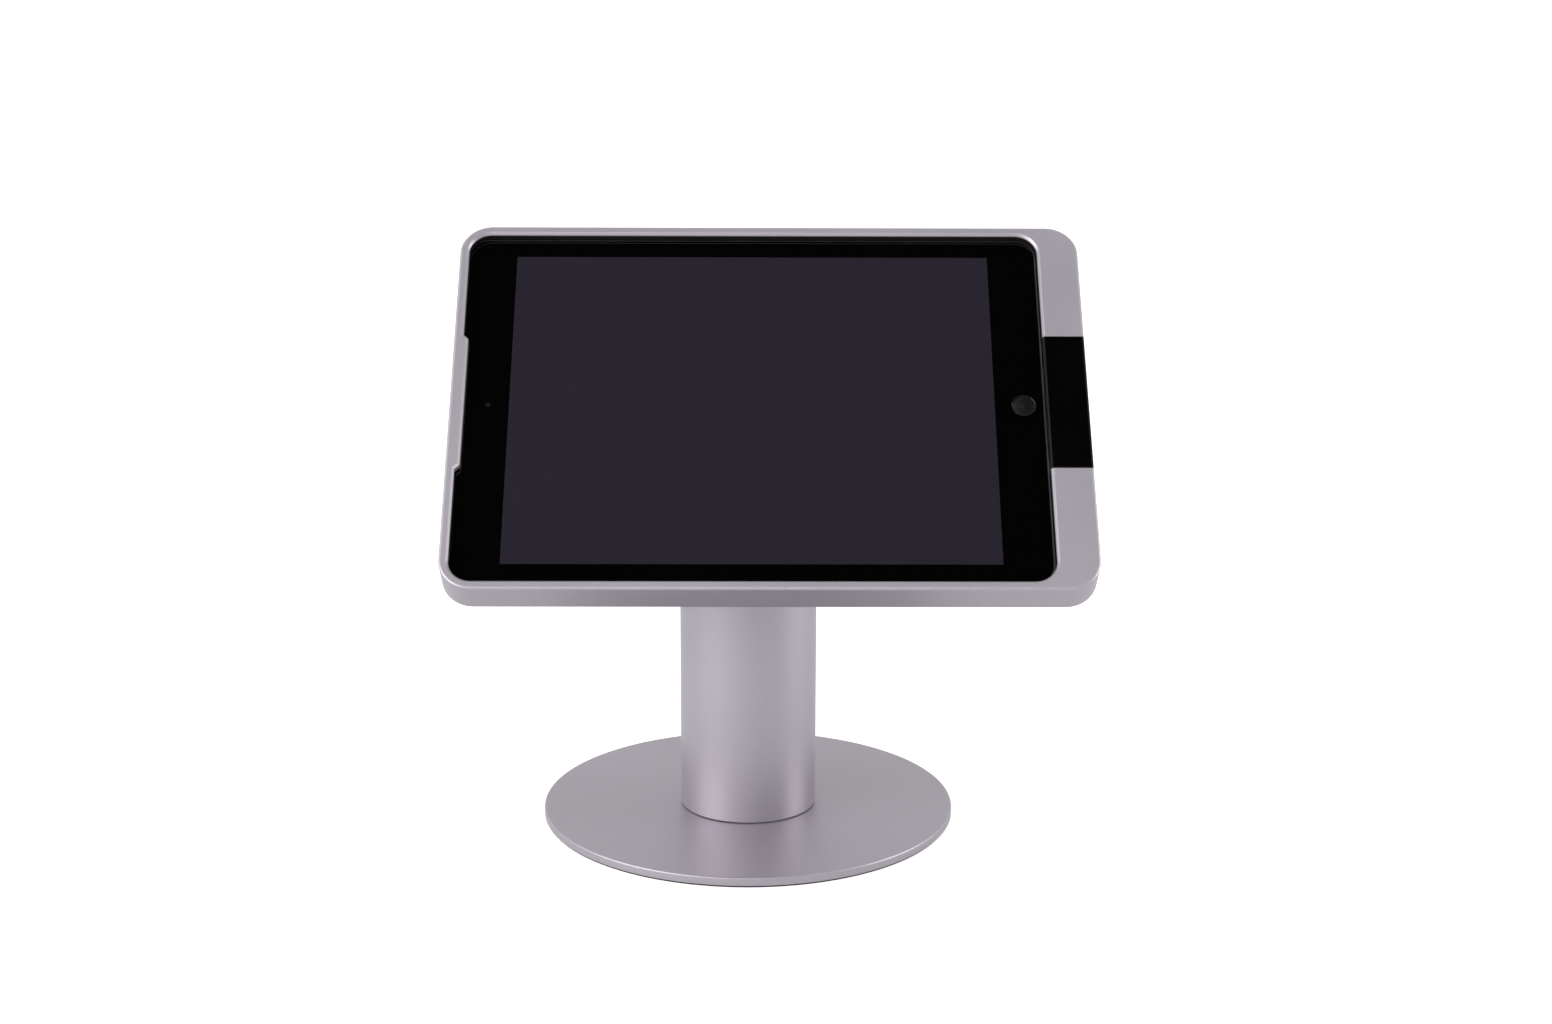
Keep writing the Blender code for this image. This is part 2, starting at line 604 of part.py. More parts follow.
def cut_lid_seat(shell, pivot):
    """Seat for the lid, the slot for its skirt, and the pocket for the plug under it."""
    inner = TABLET_RIGHT - CUT_PAST
    outer = DOCK_RIGHT + CUT_PAST
    top = RIM_TOP + CUT_PAST
    half = LID_HALF + FIT_GAP
    skirt = DOCK_RIGHT - LID_SKIRT - FIT_GAP
    pocket = PLUG_POCKET_LENGTH / 2
    shape_with(shell, block((inner, -half, SEAT_TOP), (outer, half, top)), joint=pivot)
    shape_with(shell, block((skirt, -half, PLUG_FLOOR), (outer, half, top)), joint=pivot)
    shape_with(shell, block((inner, -pocket, PLUG_FLOOR), (outer, pocket, top)), joint=pivot)
    for number, v in enumerate((-MAGNET_V, MAGNET_V), 1):
        high = SEAT_TOP - FIT_GAP
        low = high - SEAT_MAGNET_HEIGHT
        magnet = disc(MAGNET_RADIUS, low, high, (MAGNET_U, v), SMALL_STEPS)
        make_piece(f"seat_magnet_{number}", magnet, "magnet_plate", pivot)
        hole = disc(MAGNET_RADIUS + FIT_GAP, low - FIT_GAP, SEAT_TOP + CUT_PAST, (MAGNET_U, v),
                    SMALL_STEPS)
        shape_with(shell, hole, joint=pivot)


def make_gasket(pivot):
    """Soft black strip in the undercut, open at the plug, recessed for the buttons and the lip."""
    outer = UNDERCUT - FIT_GAP
    inner = outer - GASKET_THICKNESS
    low = FLOOR_TOP + FIT_GAP
    high = RIM_LIP_BOTTOM - FIT_GAP
    loops = [lay(inset_tablet(-inner), low), lay(inset_tablet(-outer), low),
             lay(inset_tablet(-outer), high), lay(inset_tablet(-inner), high)]
    gasket = make_piece("edge_gasket", loft(loops, ring=True), "black_rubber", pivot)
    half = LID_HALF + FIT_GAP
    gap = block((TABLET_RIGHT - CUT_PAST, -half, low - CUT_PAST),
                (DOCK_RIGHT, half, high + CUT_PAST))
    shape_with(gasket, gap, joint=pivot)
    notch = TABLET_BACK + GASKET_NOTCH
    reach = POWER_LENGTH / 2 + NOTCH_SPARE
    depth = outer - GASKET_FILM
    power = block((TABLET_LEFT - depth, POWER_V - reach, notch),
                  (TABLET_LEFT + CUT_PAST, POWER_V + reach, high + CUT_PAST))
    shape_with(gasket, power, joint=pivot)
    first = VOLUME_UP_U - VOLUME_LENGTH / 2 - NOTCH_SPARE
    last = VOLUME_DOWN_U + VOLUME_LENGTH / 2 + NOTCH_SPARE
    volume = block((first, TABLET_HALF - CUT_PAST, notch),
                   (last, TABLET_HALF + depth, high + CUT_PAST))
    shape_with(gasket, volume, joint=pivot)
    half = LIP_LENGTH / 2 + FIT_GAP
    lip = block((DOCK_LEFT, -half, GLASS_TOP + LIP_CLEARANCE - FIT_GAP),
                (TABLET_LEFT + CUT_PAST, half, high + CUT_PAST))
    shape_with(gasket, lip, joint=pivot)


def make_tray_pads(pivot):
    places = [(TABLET_LEFT + TRAY_PAD_FROM_EDGE, -1), (TABLET_RIGHT - TRAY_PAD_FROM_EDGE, -1),
              (TABLET_LEFT + TRAY_PAD_FROM_EDGE, 1), (TABLET_RIGHT - TRAY_PAD_FROM_EDGE, 1)]
    for number, (u, side) in enumerate(places, 1):
        v = side * (TABLET_HALF - TRAY_PAD_FROM_EDGE)
        pad = block_at(u, v, TRAY_PAD_LENGTH, TRAY_PAD_WIDTH, TRAY_PAD_BOTTOM, TRAY_PAD_TOP)
        make_piece(f"tray_pad_{number}", pad, "black_rubber", pivot)


def make_turn_screws(shell, turn_plate, pivot):
    places = ring_places(TURN_SCREW_CIRCLE, 4, math.radians(45) / 2)
    for number, (u, v) in enumerate(places, 1):
        face = (u, v, FLOOR_TOP - SCREW_SUNK)
        screw = screw_shape(face, TURN_SCREW_LENGTH, -1)
        make_piece(f"turn_screw_{number}", screw, "plain_steel", pivot)
        hole = screw_shape(face, TURN_SCREW_LENGTH, -1, FIT_GAP)
        shape_with(shell, hole, joint=pivot)
        shape_with(turn_plate, hole, joint=pivot)


def make_lid(pivot):
    """Angle-shaped lid over the plug pocket, with a magnet let into each end."""
    start = (DOCK_RIGHT, 0, LID_BOTTOM)
    slide = make_empty("lid_slide", start, pivot)
    skirt = DOCK_RIGHT - LID_SKIRT
    edge = round_edges(LID_BOTTOM, RIM_TOP, EDGE_ROUND)[EDGE_STEPS + 1:]
    section = [(OPENING_RIGHT, LID_BOTTOM), (skirt, LID_BOTTOM), (skirt, PLUG_FLOOR + FIT_GAP),
               (DOCK_RIGHT, PLUG_FLOOR + FIT_GAP)]
    section += [(DOCK_RIGHT - inset, height) for inset, height in edge]
    section += [(OPENING_RIGHT + INNER_CHAMFER, RIM_TOP),
                (OPENING_RIGHT, RIM_TOP - INNER_CHAMFER)]
    points, faces = plate(section, -LID_HALF, LID_HALF)
    upright = ([(x, z, y) for x, y, z in points], faces)
    lid = make_piece("cover_lid", upright, "black_gloss", slide, start)
    for number, v in enumerate((-MAGNET_V, MAGNET_V), 1):
        low = LID_BOTTOM + SCREW_SUNK
        high = low + LID_MAGNET_HEIGHT
        magnet = disc(MAGNET_RADIUS, low, high, (MAGNET_U, v), SMALL_STEPS)
        make_piece(f"lid_magnet_{number}", magnet, "magnet_plate", slide, start)
        hole = disc(MAGNET_RADIUS + FIT_GAP, LID_BOTTOM - CUT_PAST, high + FIT_GAP,
                    (MAGNET_U, v), SMALL_STEPS)
        shape_with(lid, hole, joint=slide, start=start)


# Tablet

def make_case(hinge, start):
    """Aluminium back with curved edges, a ledge for the glass and holes for what shows."""
    turns = [math.radians(90 * step / 3) for step in range(4)]
    loops = [lay(inset_tablet(BACK_ROUND * (1 - math.sin(turn))),
                 TABLET_BACK + BACK_ROUND * (1 - math.cos(turn))) for turn in turns]
    loops += [
        lay(inset_tablet(0), CASE_TOP - FIT_GAP),
        lay(inset_tablet((GLASS_INSET - FIT_GAP) / 2), CASE_TOP),
        lay(inset_tablet(GLASS_INSET - FIT_GAP), CASE_TOP),
        lay(inset_tablet(GLASS_INSET - FIT_GAP), LEDGE_TOP),
        lay(inset_tablet(CASE_WALL), LEDGE_TOP),
        lay(inset_tablet(CASE_WALL), CASE_FLOOR_TOP + CASE_FLOOR),
        lay(inset_tablet(CASE_WALL + CASE_FLOOR), CASE_FLOOR_TOP),
    ]
    case = make_piece("rear_case", loft(loops), "case_aluminium", hinge, start)
    for hole in case_holes():
        shape_with(case, hole, joint=hinge, start=start)


def case_holes():
    """Holes through the case for the buttons, sockets, speakers and rear camera."""
    wall = CASE_WALL + CUT_PAST
    slot = SIDE_BUTTON_HEIGHT / 2 + FIT_GAP
    low = SIDE_BUTTON_W - slot
    high = SIDE_BUTTON_W + slot
    reach = POWER_LENGTH / 2 + FIT_GAP
    holes = [block((TABLET_LEFT - CUT_PAST, POWER_V - reach, low),
                   (TABLET_LEFT + wall, POWER_V + reach, high))]
    reach = VOLUME_LENGTH / 2 + FIT_GAP
    for u in (VOLUME_UP_U, VOLUME_DOWN_U):
        holes.append(block((u - reach, TABLET_HALF - wall, low),
                           (u + reach, TABLET_HALF + CUT_PAST, high)))
    jack = disc(JACK_RADIUS, TABLET_LEFT - CUT_PAST, TABLET_LEFT + wall, (JACK_V, JACK_W),
                SMALL_STEPS)
    holes.append(along_u(jack))
    port = plate(port_outline(), TABLET_RIGHT - wall, TABLET_RIGHT + CUT_PAST)
    holes.append(along_u(port))
    camera_v = TABLET_HALF - REAR_CAMERA_FROM_EDGE
    camera = disc(REAR_CAMERA_GLASS_RADIUS + FIT_GAP, TABLET_BACK - CUT_PAST,
                  CASE_FLOOR_TOP + CUT_PAST, (TABLET_LEFT + REAR_CAMERA_FROM_EDGE, camera_v),
                  SMALL_STEPS)
    holes.append(camera)
    for side in (-1, 1):
        for number in range(SPEAKER_HOLES):
            along = (number - (SPEAKER_HOLES - 1) / 2) * SPEAKER_HOLE_PITCH
            hole = disc(SPEAKER_HOLE_RADIUS, TABLET_RIGHT - wall, TABLET_RIGHT + CUT_PAST,
                        (side * SPEAKER_FROM_MIDDLE + along, PORT_W), 8)
            holes.append(along_u(hole))
    return holes


def port_outline():
    return rounded(-PORT_LENGTH / 2, PORT_LENGTH / 2, PORT_W - PORT_HEIGHT / 2,
                   PORT_W + PORT_HEIGHT / 2, PORT_HEIGHT / 2 - FIT_GAP / 3, 4)


def make_screen(hinge, start):
    loops = [
        lay(inset_tablet(GLASS_INSET), GLASS_BOTTOM),
        lay(inset_tablet(GLASS_INSET), GLASS_TOP - GLASS_PROUD),
        lay(inset_tablet(GLASS_INSET + GLASS_PROUD), GLASS_TOP),
    ]
    glass = make_piece("front_glass", loft(loops), "screen_glass", hinge, start)
    hole = disc(HOME_BUTTON_RADIUS + FIT_GAP, GLASS_BOTTOM - CUT_PAST, GLASS_TOP + CUT_PAST,
                (HOME_U, 0))
    shape_with(glass, hole, joint=hinge, start=start)
    panel = block_at(TABLET_OFFSET, 0, PANEL_LENGTH, PANEL_HEIGHT, PANEL_BOTTOM, LEDGE_TOP)
    make_piece("display_panel", panel, "display_layer", hinge, start)


def make_inside(hinge, start):
    """Batteries side by side, the logic board to their right, and what sits at the edges."""
    shift = (BATTERY_LENGTH + BATTERY_SPACE) / 2
    middle = TABLET_OFFSET - (BOARD_LENGTH + BATTERY_SPACE) / 2
    high = PANEL_BOTTOM - BATTERY_HEADROOM
    for name, u in (("battery_left", middle - shift), ("battery_right", middle + shift)):
        cell = block_at(u, 0, BATTERY_LENGTH, BATTERY_HEIGHT, INSIDE_BOTTOM, high)
        make_piece(name, cell, "battery_wrap", hinge, start)
    board_u = middle + shift + BATTERY_LENGTH / 2 + BATTERY_SPACE + BOARD_LENGTH / 2
    board = block_at(board_u, 0, BOARD_LENGTH, BOARD_HEIGHT, INSIDE_BOTTOM,
                     INSIDE_BOTTOM + BOARD_THICKNESS)
    make_piece("logic_board", board, "circuit_green", hinge, start)
    camera = disc(FRONT_CAMERA_RADIUS, LEDGE_TOP - FRONT_CAMERA_DEPTH, LEDGE_TOP,
                  (TABLET_LEFT + FRONT_CAMERA_FROM_EDGE, 0), SMALL_STEPS)
    make_piece("front_camera", camera, "black_plastic", hinge, start)
    place = (TABLET_LEFT + REAR_CAMERA_FROM_EDGE, TABLET_HALF - REAR_CAMERA_FROM_EDGE)
    camera = disc(REAR_CAMERA_RADIUS, INSIDE_BOTTOM, INSIDE_BOTTOM + REAR_CAMERA_DEPTH, place,
                  SMALL_STEPS)
    make_piece("rear_camera", camera, "black_plastic", hinge, start)
    low = TABLET_BACK + SCREW_SUNK
    cover = disc(REAR_CAMERA_GLASS_RADIUS, low, low + REAR_CAMERA_GLASS_THICKNESS, place,
                 SMALL_STEPS)
    make_piece("rear_camera_glass", cover, "black_gloss", hinge, start)
    inner = TABLET_RIGHT - CASE_WALL - CASE_FLOOR - FIT_GAP
    for name, v in (("speaker_lower", -SPEAKER_FROM_MIDDLE), ("speaker_upper", SPEAKER_FROM_MIDDLE)):
        speaker = block_at(inner - SPEAKER_DEPTH / 2, v, SPEAKER_DEPTH, SPEAKER_LENGTH,
                           INSIDE_BOTTOM, INSIDE_BOTTOM + SPEAKER_THICKNESS)
        make_piece(name, speaker, "black_plastic", hinge, start)


def make_sockets(hinge, start):
    """Charging socket and headphone socket, each with a blind bore facing its hole."""
    face = TABLET_RIGHT - CASE_WALL - CASE_FLOOR - FIT_GAP
    port = block((face - PORT_BODY_DEPTH, -PORT_BODY_LENGTH / 2, INSIDE_BOTTOM),
                 (face, PORT_BODY_LENGTH / 2, INSIDE_BOTTOM + PORT_BODY_HEIGHT))
    port = make_piece("charge_port", port, "plain_steel", hinge, start)
    bore = plate(port_outline(), face - PORT_BORE_DEPTH, face + CUT_PAST)
    shape_with(port, along_u(bore), joint=hinge, start=start)
    face = TABLET_LEFT + CASE_WALL + CASE_FLOOR + FIT_GAP
    jack = block((face, JACK_V - JACK_BODY / 2, INSIDE_BOTTOM),
                 (face + JACK_LENGTH, JACK_V + JACK_BODY / 2, INSIDE_BOTTOM + JACK_BODY))
    jack = make_piece("headphone_jack", jack, "black_plastic", hinge, start)
    bore = disc(JACK_RADIUS, face - CUT_PAST, face + JACK_BORE_DEPTH, (JACK_V, JACK_W),
                SMALL_STEPS)
    shape_with(jack, along_u(bore), joint=hinge, start=start)


def make_home_button(hinge, start):
    top = GLASS_TOP - HOME_BUTTON_SUNK
    low = top - HOME_BUTTON_THICKNESS
    place = (HOME_U, 0, top)
    button = make_empty("home_slide", Vector(place) - Vector(start), hinge)
    make_piece("home_button", disc(HOME_BUTTON_RADIUS, low, top, (HOME_U, 0)), "black_gloss",
               button, place)
    high = low - HOME_TRAVEL - TRAVEL_GAP
    bracket = block_at(HOME_U, 0, 2 * HOME_BUTTON_RADIUS, HOME_BRACKET_LENGTH,
                       high - HOME_BRACKET_THICKNESS, high)
    make_piece("home_bracket", bracket, "plain_steel", hinge, start)


def make_power_button(hinge, start):
    inside = TABLET_LEFT + CASE_WALL + CASE_FLOOR / 2
    place = (TABLET_LEFT, POWER_V, SIDE_BUTTON_W)
    button = make_empty("power_slide", Vector(place) - Vector(start), hinge)
    outline = side_button_outline(POWER_V, POWER_LENGTH)
    cap = plate(outline, TABLET_LEFT - SIDE_BUTTON_PROUD, inside)
    make_piece("power_button", along_u(cap), "case_aluminium", button, place)
    low = inside + SIDE_BUTTON_TRAVEL + TRAVEL_GAP
    switch = block((low, POWER_V - POWER_LENGTH / 2, INSIDE_BOTTOM + FIT_GAP),
                   (low + SIDE_SWITCH_DEPTH, POWER_V + POWER_LENGTH / 2,
                    SIDE_BUTTON_W + SIDE_BUTTON_HEIGHT / 2))
    make_piece("power_switch", switch, "black_plastic", hinge, start)


def side_button_outline(middle, length):
    half = SIDE_BUTTON_HEIGHT / 2
    return rounded(middle - length / 2, middle + length / 2, SIDE_BUTTON_W - half,
                   SIDE_BUTTON_W + half, half - FIT_GAP / 3, 4)


def make_volume_buttons(hinge, start):
    inside = TABLET_HALF - CASE_WALL - CASE_FLOOR / 2
    for name, u in (("volume_up_button", VOLUME_UP_U), ("volume_down_button", VOLUME_DOWN_U)):
        place = (u, TABLET_HALF, SIDE_BUTTON_W)
        button = make_empty(name.replace("button", "slide"), Vector(place) - Vector(start), hinge)
        cap = plate(side_button_outline(u, VOLUME_LENGTH), inside, TABLET_HALF + SIDE_BUTTON_PROUD)
        make_piece(name, along_v(cap), "case_aluminium", button, place)
    high = inside - SIDE_BUTTON_TRAVEL - TRAVEL_GAP
    switch = block((VOLUME_UP_U - VOLUME_LENGTH / 2, high - SIDE_SWITCH_DEPTH,
                    INSIDE_BOTTOM + FIT_GAP),
                   (VOLUME_DOWN_U + VOLUME_LENGTH / 2, high,
                    SIDE_BUTTON_W + SIDE_BUTTON_HEIGHT / 2))
    make_piece("volume_switch", switch, "black_plastic", hinge, start)


def make_tablet(pivot):
    """Everything inside the tablet's outline, hung on the hinge along its left edge."""
    start = (TABLET_LEFT, 0, GLASS_TOP)
    hinge = make_empty("tablet_hinge", start, pivot)
    make_case(hinge, start)
    make_screen(hinge, start)
    make_inside(hinge, start)
    make_sockets(hinge, start)
    make_home_button(hinge, start)
    make_power_button(hinge, start)
    make_volume_buttons(hinge, start)


def main():
    clear_scene()
    make_base()
    make_column()
    slant = make_empty("column_slant", (0, 0, COLUMN_HEIGHT), tilt=TILT)
    pivot = make_empty("screen_pivot", (0, 0, COLUMN_HEIGHT), tilt=TILT)
    make_cap(slant)
    turn_plate = make_turning_joint(slant, pivot)
    shell = make_shell(pivot)
    make_turn_screws(shell, turn_plate, pivot)
    make_gasket(pivot)
    make_tray_pads(pivot)
    make_lid(pivot)
    make_tablet(pivot)


main()
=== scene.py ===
"""Looks of a touch tablet held in a tilted dock on a round pedestal.

The stand's pieces are worked out in x, y and z. Everything on the dock is worked out in its
slanted frame, whose origin is the point where the turn axis leaves the column: u runs right,
v up the slope and w out of the screen.
"""
import json
import math

import bpy
import numpy as np
from mathutils import Matrix, Vector


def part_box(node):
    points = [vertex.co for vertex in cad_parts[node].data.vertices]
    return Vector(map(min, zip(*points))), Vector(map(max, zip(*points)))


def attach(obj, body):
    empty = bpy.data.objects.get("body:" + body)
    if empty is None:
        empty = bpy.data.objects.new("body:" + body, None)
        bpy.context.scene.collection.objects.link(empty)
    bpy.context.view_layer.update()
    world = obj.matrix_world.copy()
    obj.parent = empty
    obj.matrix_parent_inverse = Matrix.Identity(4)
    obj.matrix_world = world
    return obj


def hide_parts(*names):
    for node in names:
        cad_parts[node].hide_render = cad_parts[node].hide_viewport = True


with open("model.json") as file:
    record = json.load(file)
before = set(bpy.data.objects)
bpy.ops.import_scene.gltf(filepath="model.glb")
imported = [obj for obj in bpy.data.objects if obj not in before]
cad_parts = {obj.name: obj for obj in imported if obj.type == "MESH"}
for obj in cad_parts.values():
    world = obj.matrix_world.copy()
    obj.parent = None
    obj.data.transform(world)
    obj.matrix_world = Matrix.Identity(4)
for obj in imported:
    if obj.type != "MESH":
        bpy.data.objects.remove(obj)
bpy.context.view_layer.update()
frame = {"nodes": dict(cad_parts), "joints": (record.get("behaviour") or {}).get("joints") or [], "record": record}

MM = 0.001


# The frame's own sizes

def node_points(name):
    """Points of a CAD node, one row each."""
    mesh = frame["nodes"][name].data
    points = np.empty(3 * len(mesh.vertices), np.float32)
    mesh.vertices.foreach_get("co", points)
    return points.reshape(-1, 3).astype(float)


TURN_JOINT = next(joint for joint in frame["joints"] if joint["name"] == "screen_turn")
DOCK_ORIGIN = np.array(TURN_JOINT["pos_m"], float)
DOCK_OUT = -np.array(TURN_JOINT["axis"], float)
DOCK_RIGHT_WAY = np.array([1.0, 0.0, 0.0])
DOCK_AXES = np.array([DOCK_RIGHT_WAY, np.cross(DOCK_OUT, DOCK_RIGHT_WAY), DOCK_OUT])
TILT = math.acos(DOCK_OUT[2])


def to_world(points):
    """Points in u, v and w, as x, y and z."""
    return DOCK_ORIGIN + points @ DOCK_AXES


def span(name):
    """Lowest and highest corner of a CAD node in u, v and w."""
    points = (node_points(name) - DOCK_ORIGIN) @ DOCK_AXES.T
    return points.min(axis=0), points.max(axis=0)


def middle(name):
    """Middle of a CAD node in u, v and w."""
    return np.mean(span(name), axis=0)


# Clearances and edges that the pieces share
FIT_GAP = 0.3 * MM              # between two pieces that fit together
CUT_PAST = 1.0 * MM             # how far a cut runs past the face it opens
HOLD = 0.15 * MM                # flat strip kept beside a rounded edge
HAIR = 0.01 * MM                # keeps two joined faces from lying in one plane
EDGE_STEPS = 5
CORNER_STEPS = 24
DISC_STEPS = 288
COLUMN_STEPS = 192
HUB_STEPS = 96
SMALL_STEPS = 48
EDGE_ROW = 0.36 * MM            # rows of faces narrower than this are rounded edges
SMOOTH_ANGLE = math.radians(32)
PAIR = (1, 2)                   # numbers of the pieces that come in pairs
FOURS = (1, 2, 3, 4)            # and of those that come in fours

# Stand
BASE_LOW, BASE_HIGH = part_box("base_plate")
PAD_LOW, PAD_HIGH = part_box("base_pad")
COLUMN_LOW, COLUMN_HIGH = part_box("column_tube")
BASE_EDGE = 0.7 * MM
BASE_UNDER_EDGE = 0.3 * MM
PAD_EDGE = 0.12 * MM
COLUMN_WALL = 2.5 * MM
COLUMN_EDGE = 0.35 * MM
OUTLET_BORE = 4.2 * MM
SLEEVE_RADIUS = 5.7 * MM
SLEEVE_DEPTH = 2.8 * MM         # into the column's wall
FLANGE_EDGE = 0.45 * MM

# Screws
HEAD_RADIUS = 3.0 * MM
HEAD_HEIGHT = 1.7 * MM
SHANK_RADIUS = 1.5 * MM

# Turning joint
(_, _, HUB_BOTTOM), (PLATE_RADIUS, _, TURN_PLATE_TOP) = span("turn_plate")
TURN_PLATE_THICKNESS = 3.3 * MM
TURN_PLATE_EDGE = 0.5 * MM
HUB_RADIUS = 11.7 * MM
HUB_BORE = 8.2 * MM

# Tablet
(TABLET_LEFT, _, TABLET_BACK), (TABLET_RIGHT, TABLET_HALF, CASE_TOP) = span("rear_case")
(GLASS_LEFT, _, GLASS_BOTTOM), (_, _, GLASS_TOP) = span("front_glass")
GLASS_INSET = GLASS_LEFT - TABLET_LEFT
GLASS_EDGE = GLASS_TOP - CASE_TOP
TABLET_CORNER = 9 * MM
BACK_ROUND = 3.2 * MM
CASE_WALL = 1.9 * MM
CASE_FLOOR = 1.0 * MM
DISPLAY_LENGTH = 207.3 * MM
DISPLAY_HEIGHT = 155.4 * MM
HOME_RADIUS = 4.8 * MM
HOME_EDGE = 0.1 * MM
HOME_DISH = 0.16 * MM
DISH_ROWS = 12
HOME_CHAMFER = 0.12 * MM
CAMERA_WINDOW = 1.35 * MM
CAMERA_LENS = 0.85 * MM
# radius within which the lens's painted highlight is at full strength
LENS_GLINT_CORE = 0.4 * CAMERA_LENS
PRINT_BLUR = 0.06 * MM          # soft edge of the print behind the glass
BUTTON_EDGE = 0.22 * MM
REAR_LENS_RADIUS = 3.7 * MM
JACK_RADIUS = 1.75 * MM
PORT_LENGTH = 8.4 * MM
PORT_HEIGHT = 2.0 * MM
SPEAKER_HOLES = 6
SPEAKER_HOLE_RADIUS = 0.8 * MM
SPEAKER_HOLE_PITCH = 3.6 * MM

# Dock
(DOCK_LEFT, _, SHELL_BOTTOM), (DOCK_RIGHT, DOCK_HALF, RIM_TOP) = span("dock_shell")
(OPENING_RIGHT, _, SKIRT_BOTTOM), (_, LID_HALF, _) = span("cover_lid")
(_, _, GASKET_LOW), (_, GASKET_HALF, GASKET_HIGH) = span("edge_gasket")
RIM_WIDTH = 4.2 * MM
RIM_LEFT_WIDTH = 4.0 * MM
RIM_CORNER = 14 * MM
OPENING_CORNER = 9.6 * MM
EDGE_ROUND = 1.0 * MM
INNER_BEVEL = 1.0 * MM
BEVEL_EDGE = 0.12 * MM
FLOOR_TOP = GASKET_LOW - FIT_GAP
RIM_LIP_BOTTOM = GASKET_HIGH + FIT_GAP
GASKET_OUTER = GASKET_HALF - TABLET_HALF
GASKET_THICKNESS = 0.6 * MM
GASKET_EDGE = 0.12 * MM
GASKET_NOTCH = 1.9 * MM         # recess floor above the tablet's back
GASKET_FILM = 0.2 * MM          # strip left behind a recess
NOTCH_SPARE = 4 * MM
OPENING_LEFT = DOCK_LEFT + RIM_LEFT_WIDTH
OPENING_HALF = DOCK_HALF - RIM_WIDTH
LIP_HALF = 34 * MM
LIP_REACH = 2.1 * MM
LIP_SLANT = 2.0 * MM
LIP_CLEARANCE = 0.8 * MM
LID_THICKNESS = 2.6 * MM
LID_SKIRT = 2.2 * MM
LID_EDGE = 0.3 * MM
LID_BOTTOM = RIM_TOP - LID_THICKNESS
SEAT_TOP = LID_BOTTOM - FIT_GAP
SEAT_CHAMFER = 0.2 * MM
PLUG_HALF = 25.5 * MM
CHANNEL_WIDTH = 9 * MM
CHANNEL_DEPTH = 1.2 * MM
PAD_CORNER = 3 * MM
REST_PAD_EDGE = 0.3 * MM

# Camera
CAMERA_PLACE = (1.68 * MM, -1082.78 * MM, 419.9 * MM)
CAMERA_DOWN = math.radians(14.601)
CAMERA_LEFT = math.radians(-0.5465)
CAMERA_ROLL = math.radians(0.2224)
LENS = 59.493
SENSOR = 36.0
CLIP_END = 100.0

# Studio
FLOOR_REACH = 30.0
FLOOR_GREYS = (0.7, 0.9)        # in reflections, and to the camera
FLOOR_GLOWS = (0.1, 0.5)
FLOOR_ROUGHNESS = 0.9
WALL_LIGHT = 0.75
OVERHEAD = (0.0, -0.2135, 0.977)
SKY_PATCHES = (                 # way to its middle, degrees to its inner and outer edge, light
    (OVERHEAD, 30, 65, 0.98),               # bright ceiling
    ((-0.8, -0.6, 0.0), 25, 75, 1.75),      # bright wall on the left
    ((0.574, -0.819, 0.0), 15, 45, 0.35),   # dark flag right of the camera
    (OVERHEAD, 10, 16, 0.015),              # dark patch that the screen mirrors
)
SOFTBOX_TARGET = (0, 0, 0.12)
SOFTBOXES = (                   # name, place, size, power in watts
    ("left_softbox", (-1.35, -0.75, 0.55), (1.4, 1.0), 11.0),
    ("right_softbox", (1.5, -0.1, 0.5), (0.8, 1.0), 10.0),
)


# Outlines and profiles

def circle(radius, steps, centre=(0.0, 0.0)):
    """Point i is the centre plus the radius times (cos t, sin t), at t = 2 pi i / steps."""
    turn = 2 * math.pi * np.arange(steps) / steps
    return np.column_stack([centre[0] + radius * np.cos(turn), centre[1] + radius * np.sin(turn)])


def rounded(left, right, low, high, radius, steps=CORNER_STEPS):
    """Rectangle with quarter-circle corners, anticlockwise from the right end of its low side.

    Corner c is its centre plus the radius times (cos t, sin t), t from 90 c - 90 to 90 c degrees.
    """
    turn = np.radians(np.linspace(-90, 0, steps + 1)[None, :] + 90 * np.arange(4)[:, None])
    across = np.array([right - radius, right - radius, left + radius, left + radius])
    along = np.array([low + radius, high - radius, high - radius, low + radius])
    points = [across[:, None] + radius * np.cos(turn), along[:, None] + radius * np.sin(turn)]
    return np.stack(points, axis=-1).reshape(-1, 2)


def soft_corners(corners, radii):
    """Polygon with each corner traded for an arc that touches both its sides.

    Between the unit ways a and b to its neighbours, at an angle g, a corner's arc has its centre
    at radius / sin(g / 2) along a + b, and turns from one touching point to the other.
    """
    corners = np.array(corners, float)
    to_last = np.roll(corners, 1, axis=0) - corners
    to_next = np.roll(corners, -1, axis=0) - corners
    to_last /= np.linalg.norm(to_last, axis=1)[:, None]
    to_next /= np.linalg.norm(to_next, axis=1)[:, None]
    radii = np.array(radii, float)[:, None]
    half = np.arccos(np.sum(to_last * to_next, axis=1))[:, None] / 2
    way = to_last + to_next
    way /= np.linalg.norm(way, axis=1)[:, None]
    centre = corners + way * radii / np.sin(half)
    first = corners + to_last * radii / np.tan(half) - centre
    last = corners + to_next * radii / np.tan(half) - centre
    start = np.arctan2(first[:, 1], first[:, 0])
    swing = np.arctan2(last[:, 1], last[:, 0]) - start
    swing = (swing + math.pi) % (2 * math.pi) - math.pi
    turn = start[:, None] + swing[:, None] * np.linspace(0, 1, EDGE_STEPS + 1)[None, :]
    arc = np.stack([np.cos(turn), np.sin(turn)], axis=-1) * radii[:, None, :]
    return (centre[:, None, :] + arc).reshape(-1, 2)


